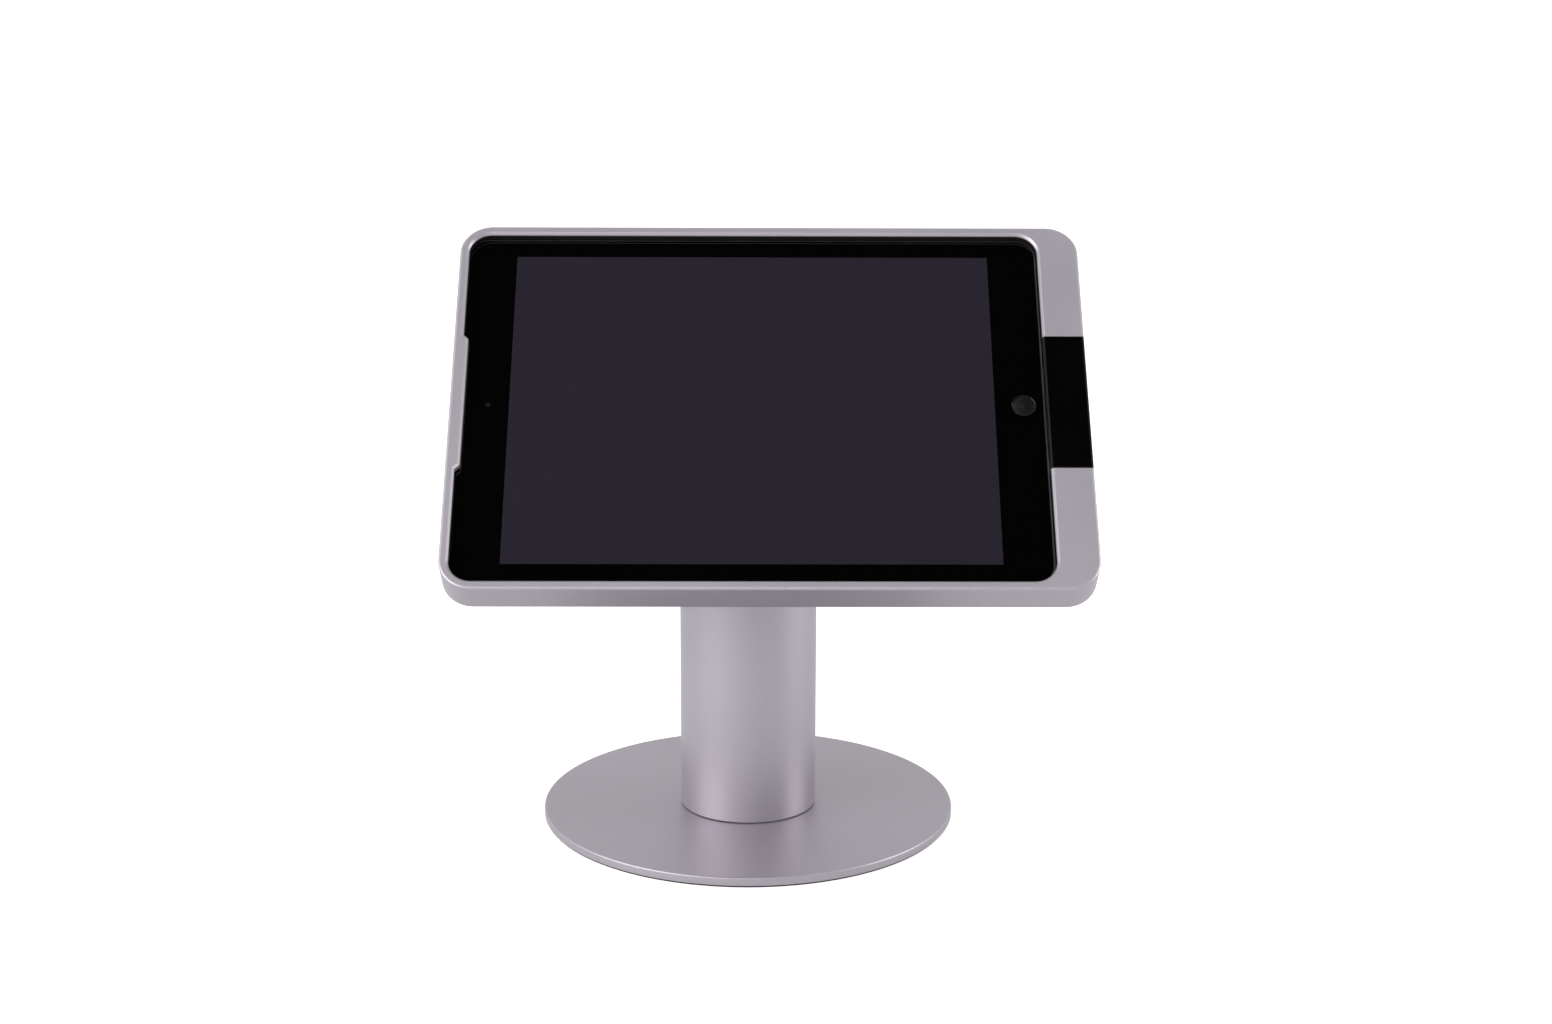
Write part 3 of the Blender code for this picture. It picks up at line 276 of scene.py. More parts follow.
def quarter(inset, height, radius, first):
    """Quarter circle of (inset, height) points about a centre, clockwise from the turn first."""
    turn = np.radians(first - 90 * np.arange(EDGE_STEPS + 1) / EDGE_STEPS)
    return np.column_stack([inset + radius * np.cos(turn), height + radius * np.sin(turn)])


def edged(low, high, low_round, high_round):
    """Side wall from the underside to the top, with a quarter round at each edge."""
    return np.vstack([
        [(low_round + HOLD, low)],
        quarter(low_round, low + low_round, low_round, -90),
        quarter(high_round, high - high_round, high_round, 180),
        [(high_round + HOLD, high)],
    ])


def raised(flat, height):
    """Grid (k, i) of flat points, each row k at its height k."""
    height = np.broadcast_to(height[:, None, None], flat.shape[:2] + (1,))
    return np.concatenate([flat, height], axis=-1)


def carried(outline, profile):
    """Grid (k, i): outline point i drawn in by inset k of the profile, at its height k.

    A point is drawn in along n1 + n2, divided by 1 + n1 . n2, of the outward normals n1 and n2
    of its two sides, which keeps both sides parallel to where they were.
    """
    profile = np.array(profile, float)
    side = outline - np.roll(outline, 1, axis=0)
    side /= np.linalg.norm(side, axis=1)[:, None]
    normal = np.column_stack([side[:, 1], -side[:, 0]])
    after = np.roll(normal, -1, axis=0)
    way = (normal + after) / (1 + np.sum(normal * after, axis=1))[:, None]
    return raised(outline[None] - profile[:, :1, None] * way[None], profile[:, 1])


def turned(profile, steps, centre=(0.0, 0.0)):
    """Grid (k, i): a circle of radius k of the profile about the centre, at its height k."""
    profile = np.array(profile, float)
    flat = np.array(centre) + profile[:, :1, None] * circle(1.0, steps)[None]
    return raised(flat, profile[:, 1])


def as_radii(radius, profile):
    """Profile of (inset, height) points as (radius, height) points."""
    return np.column_stack([radius - profile[:, 0], profile[:, 1]])


def along_u(grid):
    """Grid made along w, turned to lie along u: (p, q, r) becomes (r, p, q)."""
    return np.roll(grid, 1, axis=-1)


def along_v(grid):
    """Grid made along w, turned to lie along v: (p, q, r) becomes (q, r, p)."""
    return np.roll(grid, 2, axis=-1)


# Meshes

def skin(name, grid, ring=False):
    """Closed mesh over a grid (k, i), where i runs round the piece and k along its profile.

    A face joins each point to the next in both directions. One face closes the first row and one
    the last, or the two rows join where the profile is a ring. The attribute "edge" is 1 on the
    narrow rows, which are the rounded edges.
    """
    rows, count = grid.shape[:2]
    index = np.arange(rows * count).reshape(rows, count)
    if ring:
        index = np.vstack([index, index[:1]])
    beside = np.roll(index, -1, axis=1)
    quads = np.stack([index[:-1], beside[:-1], beside[1:], index[1:]], axis=-1).reshape(-1, 4)
    caps = [] if ring else [index[0, ::-1].tolist(), index[-1].tolist()]
    points = grid.reshape(-1, 3)
    mesh = bpy.data.meshes.new(name)
    mesh.from_pydata(points.tolist(), [], quads.tolist() + caps)
    width = np.linalg.norm(points[index[1:]] - points[index[:-1]], axis=-1).mean(axis=1)
    edge = np.append(np.repeat(width < EDGE_ROW, count), np.zeros(len(caps)))
    mesh.attributes.new("edge", "FLOAT", "FACE").data.foreach_set("value", edge.astype(np.float32))
    piece = bpy.data.objects.new(name, mesh)
    bpy.context.scene.collection.objects.link(piece)
    return piece


def settle(piece):
    """Gives a piece the mesh that its modifiers make, and drops them."""
    graph = bpy.context.evaluated_depsgraph_get()
    seen = piece.evaluated_get(graph)
    mesh = bpy.data.meshes.new_from_object(seen, preserve_all_data_layers=True, depsgraph=graph)
    piece.modifiers.clear()
    old = piece.data
    piece.data = mesh
    bpy.data.meshes.remove(old)
    mesh.name = piece.name


def carve(piece, cutters, operation="DIFFERENCE"):
    """Takes the cutters out of a piece, or joins them on."""
    for cutter in cutters:
        modifier = piece.modifiers.new("carve", "BOOLEAN")
        modifier.operation = operation
        modifier.solver = "EXACT"
        modifier.object = cutter
    settle(piece)
    for cutter in cutters:
        bpy.data.objects.remove(cutter)


def cutter(grid):
    """Cutting mesh over a grid in u, v and w."""
    return skin("cut", to_world(grid))


def block_cut(low, high):
    """Cutter in u, v and w between two corners."""
    outline = [(low[0], low[1]), (high[0], low[1]), (high[0], high[1]), (low[0], high[1])]
    return cutter(carried(np.array(outline), [(0, low[2]), (0, high[2])]))


def round_cut(name, low=None, high=None):
    """Round cutter a fit gap wider than a CAD node, and past its ends where no height is given."""
    first, last = span(name)
    centre = (first + last) / 2
    radius = (last[0] - first[0]) / 2 + FIT_GAP
    low = first[2] - FIT_GAP if low is None else low
    high = last[2] + FIT_GAP if high is None else high
    return cutter(turned([(radius, low), (radius, high)], SMALL_STEPS, centre[:2]))


def screw_hole(face, length, way):
    """Countersunk cutter from the screw's face, way being 1 where it points along the height."""
    profile = np.array([
        (HEAD_RADIUS + FIT_GAP, face[2] - way * CUT_PAST),
        (HEAD_RADIUS + FIT_GAP, face[2] + way * FIT_GAP),
        (SHANK_RADIUS + FIT_GAP, face[2] + way * (HEAD_HEIGHT + FIT_GAP)),
        (SHANK_RADIUS + FIT_GAP, face[2] + way * (length + FIT_GAP)),
    ])
    return turned(profile[::way], SMALL_STEPS, face[:2])


def dress(piece, body, slot, *nodes):
    """Smooths a piece, gives it its finish, and lets it stand for CAD nodes on a body."""
    piece.data.shade_smooth()
    piece.data.set_sharp_from_angle(angle=SMOOTH_ANGLE)
    modifier = piece.modifiers.new("even_normals", "WEIGHTED_NORMAL")
    modifier.keep_sharp = True
    settle(piece)
    piece.data.materials.clear()
    piece.data.materials.append(finishes[slot])
    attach(piece, body)
    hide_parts(*nodes)
    return piece


# Shader groups

def fill(tree, node, inputs):
    """Links each input of a node, or gives it a value."""
    for name, value in inputs.items():
        if isinstance(value, bpy.types.NodeSocket):
            tree.links.new(value, node.inputs[name])
        else:
            node.inputs[name].default_value = value


def add(tree, kind, inputs=None, **settings):
    """Shader node with its settings, and its inputs linked or given a value."""
    node = tree.nodes.new("ShaderNode" + kind)
    for name, value in settings.items():
        setattr(node, name, value)
    fill(tree, node, inputs or {})
    return node


def new_group(name, inputs, outputs):
    """Empty shader group, with its input sockets by name and its output node."""
    tree = bpy.data.node_groups.new(name, "ShaderNodeTree")
    for label, kind, value in inputs:
        socket = tree.interface.new_socket(label, in_out="INPUT", socket_type="NodeSocket" + kind)
        socket.default_value = value
    for label, kind in outputs:
        tree.interface.new_socket(label, in_out="OUTPUT", socket_type="NodeSocket" + kind)
    return tree, tree.nodes.new("NodeGroupInput").outputs, tree.nodes.new("NodeGroupOutput").inputs


def math_node(tree, operation, first, second=0.0, clamp=False):
    """Result of a sum on one or two values."""
    inputs = {0: first, 1: second}
    return add(tree, "Math", inputs, operation=operation, use_clamp=clamp).outputs[0]


def ramp(tree, value, low, high, low_value=0.0, high_value=1.0):
    """Smooth step of a value from low to high."""
    inputs = {"Value": value, "From Min": low, "From Max": high, "To Min": low_value,
              "To Max": high_value}
    return add(tree, "MapRange", inputs, interpolation_type="SMOOTHSTEP").outputs["Result"]


def blended(tree, share, first, second):
    """Colour between two colours, by a share from 0 to 1."""
    node = add(tree, "Mix", {"Factor": share}, data_type="RGBA")
    for name, value in (("A", first), ("B", second)):
        socket = next(s for s in node.inputs if s.name == name and s.type == "RGBA")
        if isinstance(value, bpy.types.NodeSocket):
            tree.links.new(value, socket)
        else:
            socket.default_value = (*value, 1.0)
    return next(s for s in node.outputs if s.type == "RGBA")


def noise(tree, place, scale, **inputs):
    """Smooth noise from 0 to 1."""
    return add(tree, "TexNoise", inputs | {"Vector": place, "Scale": scale}).outputs[0]


def grain_group():
    """Fine grain: a sharp noise over a broad soft one, and its height for a bump."""
    tree, given, out = new_group(
        "fine_grain",
        [("Place", "Vector", (0, 0, 0)), ("Scale", "Float", 3000.0), ("Cloud", "Float", 20.0)],
        [("Shade", "Float"), ("Height", "Float")])
    fine = noise(tree, given["Place"], given["Scale"], Detail=2.0, Roughness=0.6)
    broad = noise(tree, given["Place"], given["Cloud"], Detail=3.0, Roughness=0.5)
    sharp_share = 0.45
    sharp = math_node(tree, "MULTIPLY", ramp(tree, fine, 0.3, 0.7), sharp_share)
    soft = math_node(tree, "MULTIPLY", broad, 1 - sharp_share)
    tree.links.new(math_node(tree, "ADD", sharp, soft), out["Shade"])
    tree.links.new(fine, out["Height"])
    return tree


def wear_group():
    """Rubbed edges: the piece's own edge mask, broken up by noise."""
    tree, given, out = new_group(
        "edge_wear",
        [("Place", "Vector", (0, 0, 0)), ("Edge", "Float", 0.0), ("Scale", "Float", 240.0)],
        [("Mask", "Float")])
    spots = noise(tree, given["Place"], given["Scale"], Detail=4.0, Roughness=0.65)
    broken = ramp(tree, spots, 0.42, 0.66)
    tree.links.new(math_node(tree, "MULTIPLY", broken, given["Edge"], True), out["Mask"])
    return tree


def smudge_group():
    """Finger smears: a distorted soft noise, and finer streaks within it."""
    tree, given, out = new_group(
        "smudges",
        [("Place", "Vector", (0, 0, 0)), ("Scale", "Float", 18.0)],
        [("Mask", "Float")])
    blot = noise(tree, given["Place"], given["Scale"], Detail=3.0, Roughness=0.55, Distortion=1.2)
    times_finer = 14.0
    finer = math_node(tree, "MULTIPLY", given["Scale"], times_finer)
    streak = noise(tree, given["Place"], finer, Detail=2.0, Distortion=0.6)
    soft = ramp(tree, blot, 0.46, 0.7)
    fine = ramp(tree, streak, 0.35, 0.7, 0.4, 1.0)
    tree.links.new(math_node(tree, "MULTIPLY", soft, fine), out["Mask"])
    return tree


def marks_group():
    """Cutter marks: rings about the third axis of Place, a fixed pitch apart, slightly uneven."""
    tree, given, out = new_group(
        "cutter_marks",
        [("Place", "Vector", (0, 0, 0)), ("Pitch", "Float", 0.3 * MM)],
        [("Height", "Float")])
    across = add(tree, "VectorMath", {0: given["Place"], 1: (1.0, 1.0, 0.0)}, operation="MULTIPLY")
    reach = add(tree, "VectorMath", {0: across.outputs[0]}, operation="LENGTH").outputs["Value"]
    turns = math_node(tree, "DIVIDE", reach, given["Pitch"])
    uneven = math_node(tree, "ADD", turns, noise(tree, given["Place"], 400.0, Detail=2.0))
    wave = math_node(tree, "SINE", math_node(tree, "MULTIPLY", uneven, 2 * math.pi))
    tree.links.new(math_node(tree, "MULTIPLY", wave, 0.5), out["Height"])
    return tree


groups = {
    "grain": grain_group(),
    "wear": wear_group(),
    "smudges": smudge_group(),
    "marks": marks_group(),
}


def use(tree, group, place, **inputs):
    """One of the shared groups at a place on the piece, with its own values."""
    node = tree.nodes.new("ShaderNodeGroup")
    node.node_tree = groups[group]
    fill(tree, node, inputs | {"Place": place})
    return node.outputs


# Finishes

GRAIN = (0.2, 0.8)              # range of nearly all of the grain's shade
MASK = (0.0, 1.0)


def new_finish(name, metallic=0.0, ior=1.5):
    """Material with one Principled shader, and the place on the piece in metres."""
    material = bpy.data.materials.new(name)
    material.use_nodes = True
    tree = material.node_tree
    shader = tree.nodes["Principled BSDF"]
    shader.inputs["Metallic"].default_value = metallic
    shader.inputs["IOR"].default_value = ior
    place = add(tree, "TexCoord").outputs["Object"]
    return material, tree, shader.inputs, place


def colour(tree, shader, share, first, second):
    """Base colour between two colours, by a share."""
    tree.links.new(blended(tree, share, first, second), shader["Base Color"])


def roughen(tree, shader, value, over, rough):
    """Roughness that goes from one figure to another as a value goes over its range."""
    tree.links.new(ramp(tree, value, *over, *rough), shader["Roughness"])


def dent(tree, shader, height, depth, strength):
    """Bump of a depth in metres."""
    inputs = {"Height": height, "Distance": depth, "Strength": strength}
    tree.links.new(add(tree, "Bump", inputs).outputs["Normal"], shader["Normal"])


def rub_edges(tree, shader, place, tone, worn, share, scale):
    """Base colour of a tone that goes a share of the way to a worn one along the edges."""
    edge = add(tree, "Attribute", attribute_name="edge").outputs["Fac"]
    wear = use(tree, "wear", place, Edge=edge, Scale=scale)["Mask"]
    colour(tree, shader, math_node(tree, "MULTIPLY", wear, share), tone, worn)


def within(tree, reach, limit):
    """1 where a distance is under its limit and 0 past it."""
    return ramp(tree, reach, limit - PRINT_BLUR, limit + PRINT_BLUR, 1.0, 0.0)


def on_dock(tree, place, origin):
    """Place in the dock's own directions, measured from a point given in u, v and w."""
    spot = to_world(np.array(origin, float))
    inputs = {"Vector": place, "Location": tuple(spot), "Rotation": (TILT, 0, 0)}
    return add(tree, "Mapping", inputs, vector_type="TEXTURE").outputs[0]


def satin_metal(name):
    """Satin grey metallic paint with a slight mauve tint, rubbed a little brighter at its edges."""
    material, tree, shader, place = new_finish(name, metallic=0.72)
    grain = use(tree, "grain", place, Scale=2600.0, Cloud=14.0)
    paint = blended(tree, grain["Shade"], (0.385, 0.357, 0.396), (0.470, 0.436, 0.483))
    rub_edges(tree, shader, place, paint, worn=(0.62, 0.60, 0.62), share=0.12, scale=260.0)
    roughen(tree, shader, grain["Shade"], over=GRAIN, rough=(0.37, 0.45))
    dent(tree, shader, grain["Height"], depth=0.012 * MM, strength=0.35)
    return material


def case_aluminium():
    """Fine blasted and anodised aluminium, dark grey, with its edges rubbed brighter."""
    material, tree, shader, place = new_finish("case_aluminium", metallic=1.0)
    grain = use(tree, "grain", place, Scale=5200.0, Cloud=25.0)
    oxide = blended(tree, grain["Shade"], (0.17, 0.17, 0.183), (0.235, 0.235, 0.25))
    rub_edges(tree, shader, place, oxide, worn=(0.42, 0.42, 0.44), share=0.1, scale=320.0)
    roughen(tree, shader, grain["Shade"], over=GRAIN, rough=(0.36, 0.46))
    dent(tree, shader, grain["Height"], depth=0.01 * MM, strength=0.4)
    return material


def black_gloss():
    """Polished black plastic, softly smeared by fingers."""
    material, tree, shader, place = new_finish("black_gloss", ior=1.3)
    smear = use(tree, "smudges", place, Scale=40.0)["Mask"]
    grain = use(tree, "grain", place, Scale=1500.0, Cloud=60.0)
    deep = blended(tree, grain["Shade"], (0.0006, 0.0006, 0.0008), (0.0014, 0.0014, 0.0017))
    rub_edges(tree, shader, place, deep, worn=(0.02, 0.02, 0.022), share=0.15, scale=300.0)
    roughen(tree, shader, smear, over=MASK, rough=(0.05, 0.13))
    dent(tree, shader, grain["Height"], depth=0.002 * MM, strength=0.2)
    return material


def home_gloss():
    """Dark grey glass of the round button, a shade lighter than the print round it."""
    material, tree, shader, place = new_finish("home_gloss", ior=1.55)
    smear = use(tree, "smudges", place, Scale=160.0)["Mask"]
    colour(tree, shader, smear, (0.0060, 0.0059, 0.0062), (0.0082, 0.0080, 0.0084))
    roughen(tree, shader, smear, over=MASK, rough=(0.16, 0.26))
    return material


def screen_glass():
    """Front glass: black print behind its border, clear over the display and the front camera.

    The display shows where both distances from the screen's middle are under half its sides, and
    the camera where the distance from its own middle is under the window's radius. The lens's
    middle is painted a lighter blue grey, a painted highlight that fades out at the lens's radius.
    """
    material, tree, shader, place = new_finish("screen_glass", ior=1.5)
    centre = (TABLET_LEFT + TABLET_RIGHT) / 2
    spot = on_dock(tree, place, (centre, 0.0, GLASS_TOP))
    parts = add(tree, "SeparateXYZ", {0: spot}).outputs
    wide = within(tree, math_node(tree, "ABSOLUTE", parts["X"]), DISPLAY_LENGTH / 2)
    high = within(tree, math_node(tree, "ABSOLUTE", parts["Y"]), DISPLAY_HEIGHT / 2)
    window = math_node(tree, "MULTIPLY", wide, high)
    eye = on_dock(tree, place, (middle("front_camera")[0], 0.0, GLASS_TOP))
    reach = add(tree, "VectorMath", {0: eye}, operation="LENGTH").outputs["Value"]
    hole = within(tree, reach, CAMERA_WINDOW)
    # painted highlight: the lens's middle is lighter blue grey, fading to the dark window colour at the lens's
    # radius
    lens = ramp(tree, reach, LENS_GLINT_CORE, CAMERA_LENS, 1.0, 0.0)
    cloud = use(tree, "grain", place, Scale=900.0, Cloud=9.0)["Shade"]
    display = blended(tree, cloud, (0.0176, 0.0147, 0.0226), (0.0200, 0.0166, 0.0254))
    printed = blended(tree, cloud, (0.0002, 0.0002, 0.0003), (0.0006, 0.0006, 0.0007))
    shown = blended(tree, window, printed, display)
    ringed = blended(tree, hole, shown, (0.004, 0.0042, 0.0048))
    # lighter lens middle over the window colour, a painted highlight
    colour(tree, shader, lens, ringed, (0.014, 0.015, 0.020))
    smear = use(tree, "smudges", place, Scale=16.0)["Mask"]
    roughen(tree, shader, smear, over=MASK, rough=(0.03, 0.085))
    return material


def black_rubber():
    """Matt moulded rubber with a fine uneven skin and a pale bloom."""
    material, tree, shader, place = new_finish("black_rubber")
    shader["Specular IOR Level"].default_value = 0.2
    grain = use(tree, "grain", place, Scale=1800.0, Cloud=45.0)
    colour(tree, shader, grain["Shade"], (0.0025, 0.0025, 0.0027), (0.0070, 0.0070, 0.0073))
    roughen(tree, shader, grain["Shade"], over=GRAIN, rough=(0.72, 0.9))
    dent(tree, shader, grain["Height"], depth=0.04 * MM, strength=0.6)
    return material


def plastic(name, dark, light, rough):
    """Moulded plastic with a spark-eroded skin."""
    material, tree, shader, place = new_finish(name)
    grain = use(tree, "grain", place, Scale=2400.0, Cloud=60.0)
    colour(tree, shader, grain["Shade"], dark, light)
    roughen(tree, shader, grain["Shade"], over=GRAIN, rough=rough)
    dent(tree, shader, grain["Height"], depth=0.02 * MM, strength=0.5)
    return material


def plain_steel():
    """Turned steel with fine cutter marks and a few dull spots."""
    material, tree, shader, place = new_finish("plain_steel", metallic=1.0)
    marks = use(tree, "marks", place, Pitch=0.22 * MM)["Height"]
    grain = use(tree, "grain", place, Scale=1200.0, Cloud=70.0)
    colour(tree, shader, grain["Shade"], (0.40, 0.40, 0.41), (0.56, 0.56, 0.57))
    roughen(tree, shader, grain["Shade"], over=GRAIN, rough=(0.24, 0.38))
    dent(tree, shader, marks, depth=0.004 * MM, strength=0.5)
    return material


def magnet_plate():
    """Bright nickel, lightly scuffed."""
    material, tree, shader, place = new_finish("magnet_plate", metallic=1.0)
    smear = use(tree, "smudges", place, Scale=260.0)["Mask"]
    colour(tree, shader, smear, (0.63, 0.61, 0.58), (0.50, 0.49, 0.47))
    roughen(tree, shader, smear, over=MASK, rough=(0.10, 0.28))
    return material


def display_layer():
    """Switched-off panel: dark purple grey with a barely visible square grid."""
    material, tree, shader, place = new_finish("display_layer")
    spot = on_dock(tree, place, middle("display_panel"))
    pitch = 0.2 * MM
    grid = add(tree, "TexChecker", {"Vector": spot, "Scale": 1 / pitch}).outputs["Fac"]
    cloud = use(tree, "grain", place, Scale=900.0, Cloud=12.0)["Shade"]
    colour(tree, shader, grid, (0.022, 0.018, 0.028), (0.026, 0.022, 0.032))
    roughen(tree, shader, cloud, over=GRAIN, rough=(0.22, 0.34))
    return material


def battery_wrap():
    """Creased dark foil round a pouch cell."""
    material, tree, shader, place = new_finish("battery_wrap", metallic=0.35)
    crease = noise(tree, place, 90.0, Detail=4.0, Distortion=1.6)
    colour(tree, shader, crease, (0.035, 0.035, 0.04), (0.075, 0.075, 0.082))
    roughen(tree, shader, crease, over=(0.3, 0.7), rough=(0.38, 0.55))
    dent(tree, shader, crease, depth=0.3 * MM, strength=0.4)
    return material


def circuit_green():
    """Lacquered board with straight copper runs under the lacquer."""
    material, tree, shader, place = new_finish("circuit_green")
    spot = on_dock(tree, place, middle("logic_board"))
    inputs = {"Vector": spot, "Scale": 900.0, "Mortar Size": 0.12, "Brick Width": 3.0,
              "Row Height": 0.9}
    runs = add(tree, "TexBrick", inputs).outputs["Fac"]
    colour(tree, shader, runs, (0.006, 0.045, 0.022), (0.03, 0.12, 0.05))
    roughen(tree, shader, runs, over=MASK, rough=(0.32, 0.24))
    dent(tree, shader, runs, depth=0.02 * MM, strength=0.5)
    return material


finishes = {
    "satin_metal": satin_metal("satin_metal"),
    "satin_aluminium": satin_metal("satin_aluminium"),
    "case_aluminium": case_aluminium(),
    "black_gloss": black_gloss(),
    "screen_glass": screen_glass(),
    "black_rubber": black_rubber(),
    "black_plastic": plastic("black_plastic", dark=(0.012, 0.012, 0.013),
                             light=(0.027, 0.027, 0.028), rough=(0.44, 0.58)),
    "white_nylon": plastic("white_nylon", dark=(0.66, 0.65, 0.61),
                           light=(0.79, 0.78, 0.75), rough=(0.42, 0.56)),
    "plain_steel": plain_steel(),
    "magnet_plate": magnet_plate(),
    "display_layer": display_layer(),
    "battery_wrap": battery_wrap(),
    "circuit_green": circuit_green(),
}


# Stand

def make_base():
    """Disc with a rounded upper edge, over a thin anti-slip pad."""
    radius = BASE_HIGH.x
    wall = edged(BASE_LOW.z, BASE_HIGH.z, BASE_UNDER_EDGE, BASE_EDGE)
    disc = skin("base_disc", turned(as_radii(radius, wall), DISC_STEPS))
    holes = []
    for number in FOURS:
        low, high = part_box(f"base_screw_{number}")
        face = ((low.x + high.x) / 2, (low.y + high.y) / 2, low.z)
        holes.append(skin("cut", screw_hole(face, high.z - low.z, 1)))
    carve(disc, holes)
    dress(disc, "stand", "satin_metal", "base_plate")
    wall = edged(PAD_LOW.z, PAD_HIGH.z, PAD_EDGE, PAD_EDGE)
    pad = skin("base_foot_pad", turned(as_radii(PAD_HIGH.x, wall), DISC_STEPS))
    dress(pad, "stand", "black_rubber", "base_pad")


def column_rows():
    """Rows of the tube's wall: radius, height, and 1 where that counts from the slanted cut."""
    outer = COLUMN_HIGH.x
    bore = outer - COLUMN_WALL
    foot = edged(COLUMN_LOW.z, COLUMN_LOW.z + 2 * COLUMN_EDGE, COLUMN_EDGE, COLUMN_EDGE)
    half = len(foot) // 2
    rows = [(bore, COLUMN_LOW.z, 0)]
    rows += [(outer - inset, height, 0) for inset, height in foot[:half]]
    top = quarter(COLUMN_EDGE, -COLUMN_EDGE, COLUMN_EDGE, 180)
    rows += [(outer, -3 * COLUMN_EDGE, 1)]
    rows += [(outer - inset, height, 1) for inset, height in top]
    rows += [(outer - COLUMN_EDGE - HOLD, 0, 1)]
    rows += [(bore + COLUMN_EDGE - inset, height, 1) for inset, height in top[::-1]]
    return np.array(rows)


def make_column():
    """Tube cut at the dock's slant, with a round cable outlet low on its back.

    Point (k, i) is at radius k and turn t; its height is that of row k, plus the height of the
    slanted plane there, which is the pivot's height plus y times the tangent of the tilt.
    """
    rows = column_rows()
    flat = rows[:, :1, None] * circle(1.0, COLUMN_STEPS)[None]
    slant = DOCK_ORIGIN[2] + flat[..., 1] * math.tan(TILT)
    height = rows[:, 1][:, None] + rows[:, 2][:, None] * slant
    column = skin("column", np.concatenate([flat, height[..., None]], axis=-1), ring=True)
    low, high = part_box("cable_grommet")
    outlet = (low.z + high.z) / 2
    hole = turned([(SLEEVE_RADIUS + FIT_GAP, COLUMN_HIGH.x / 2),
                   (SLEEVE_RADIUS + FIT_GAP, COLUMN_HIGH.x + CUT_PAST)], SMALL_STEPS, (outlet, 0))
    carve(column, [skin("cut", along_v(hole))])
    dress(column, "stand", "satin_metal", "column_tube")


def make_grommet():
    """Rubber sleeve in the outlet, with a flange that follows the column's round wall.

    Point (k, i) is at radius k and depth k behind the column, less the drop of the wall there,
    which is F - sqrt(F F - x x) for a flange seat of radius F.
    """
    low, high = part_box("cable_grommet")
    outlet = (low.z + high.z) / 2
    flange = high.x
    seat = COLUMN_HIGH.x + FIT_GAP
    front = high.y
    rim = quarter(0, 0, FLANGE_EDGE, 180)
    inside = seat - FIT_GAP - SLEEVE_DEPTH
    rows = [(OUTLET_BORE, inside, 0), (SLEEVE_RADIUS, inside, 0), (SLEEVE_RADIUS, seat, 1),
            (flange - HOLD, seat, 1), (flange, seat + HOLD, 1)]
    rows += [(flange - FLANGE_EDGE - inset, front - FLANGE_EDGE + height, 1)
             for inset, height in rim]
    rows += [(OUTLET_BORE + FLANGE_EDGE + inset, front - FLANGE_EDGE + height, 1)
             for inset, height in rim[::-1]]
    rows = np.array(rows)
    ring = rows[:, :1, None] * circle(1.0, SMALL_STEPS)[None]
    drop = seat - np.sqrt(seat ** 2 - ring[..., 1] ** 2)
    depth = rows[:, 1][:, None] - rows[:, 2][:, None] * drop
    grid = np.stack([ring[..., 1], depth, outlet + ring[..., 0]], axis=-1)
    dress(skin("cable_sleeve", grid, ring=True), "stand", "black_rubber", "cable_grommet")


# Turning joint

def turn_screw_cuts():
    """Holes for the four screws from the dock's floor into the turn plate."""
    low, high = span("turn_screw_1")
    length = high[2] - low[2]
    cuts = []
    for number in FOURS:
        low, high = span(f"turn_screw_{number}")
        face = ((low[0] + high[0]) / 2, (low[1] + high[1]) / 2, high[2])
        cuts.append(cutter(screw_hole(face, length, -1)))
    return cuts


def make_turn_plate():
    """Plate and hollow hub, turned in one piece."""
    low = TURN_PLATE_TOP - TURN_PLATE_THICKNESS
    rim = as_radii(PLATE_RADIUS, edged(low, TURN_PLATE_TOP, TURN_PLATE_EDGE, TURN_PLATE_EDGE))
    profile = np.vstack([
        [(HUB_BORE, HUB_BOTTOM), (HUB_RADIUS, HUB_BOTTOM), (HUB_RADIUS, low)],
        rim,
        [(HUB_BORE, TURN_PLATE_TOP)],
    ])
    plate = skin("turning_plate", to_world(turned(profile, HUB_STEPS)), ring=True)
    pin_low, _ = span("stop_pin")
    carve(plate, turn_screw_cuts() + [round_cut("stop_pin", low=pin_low[2])])
    dress(plate, "dock", "satin_aluminium", "turn_plate")


# Dock

def with_lip(outline, left, reach):
    """Outline with four points on its left side, the middle two moved in by the lip's reach."""
    side = [(left, LIP_HALF), (left + reach, LIP_HALF - LIP_SLANT),
            (left + reach, LIP_SLANT - LIP_HALF), (left, -LIP_HALF)]
    return np.insert(outline, 3 * (CORNER_STEPS + 1), side, axis=0)


def tablet_outline():
    """Tablet's outline, with its round corners."""
    return rounded(TABLET_LEFT, TABLET_RIGHT, -TABLET_HALF, TABLET_HALF, TABLET_CORNER)


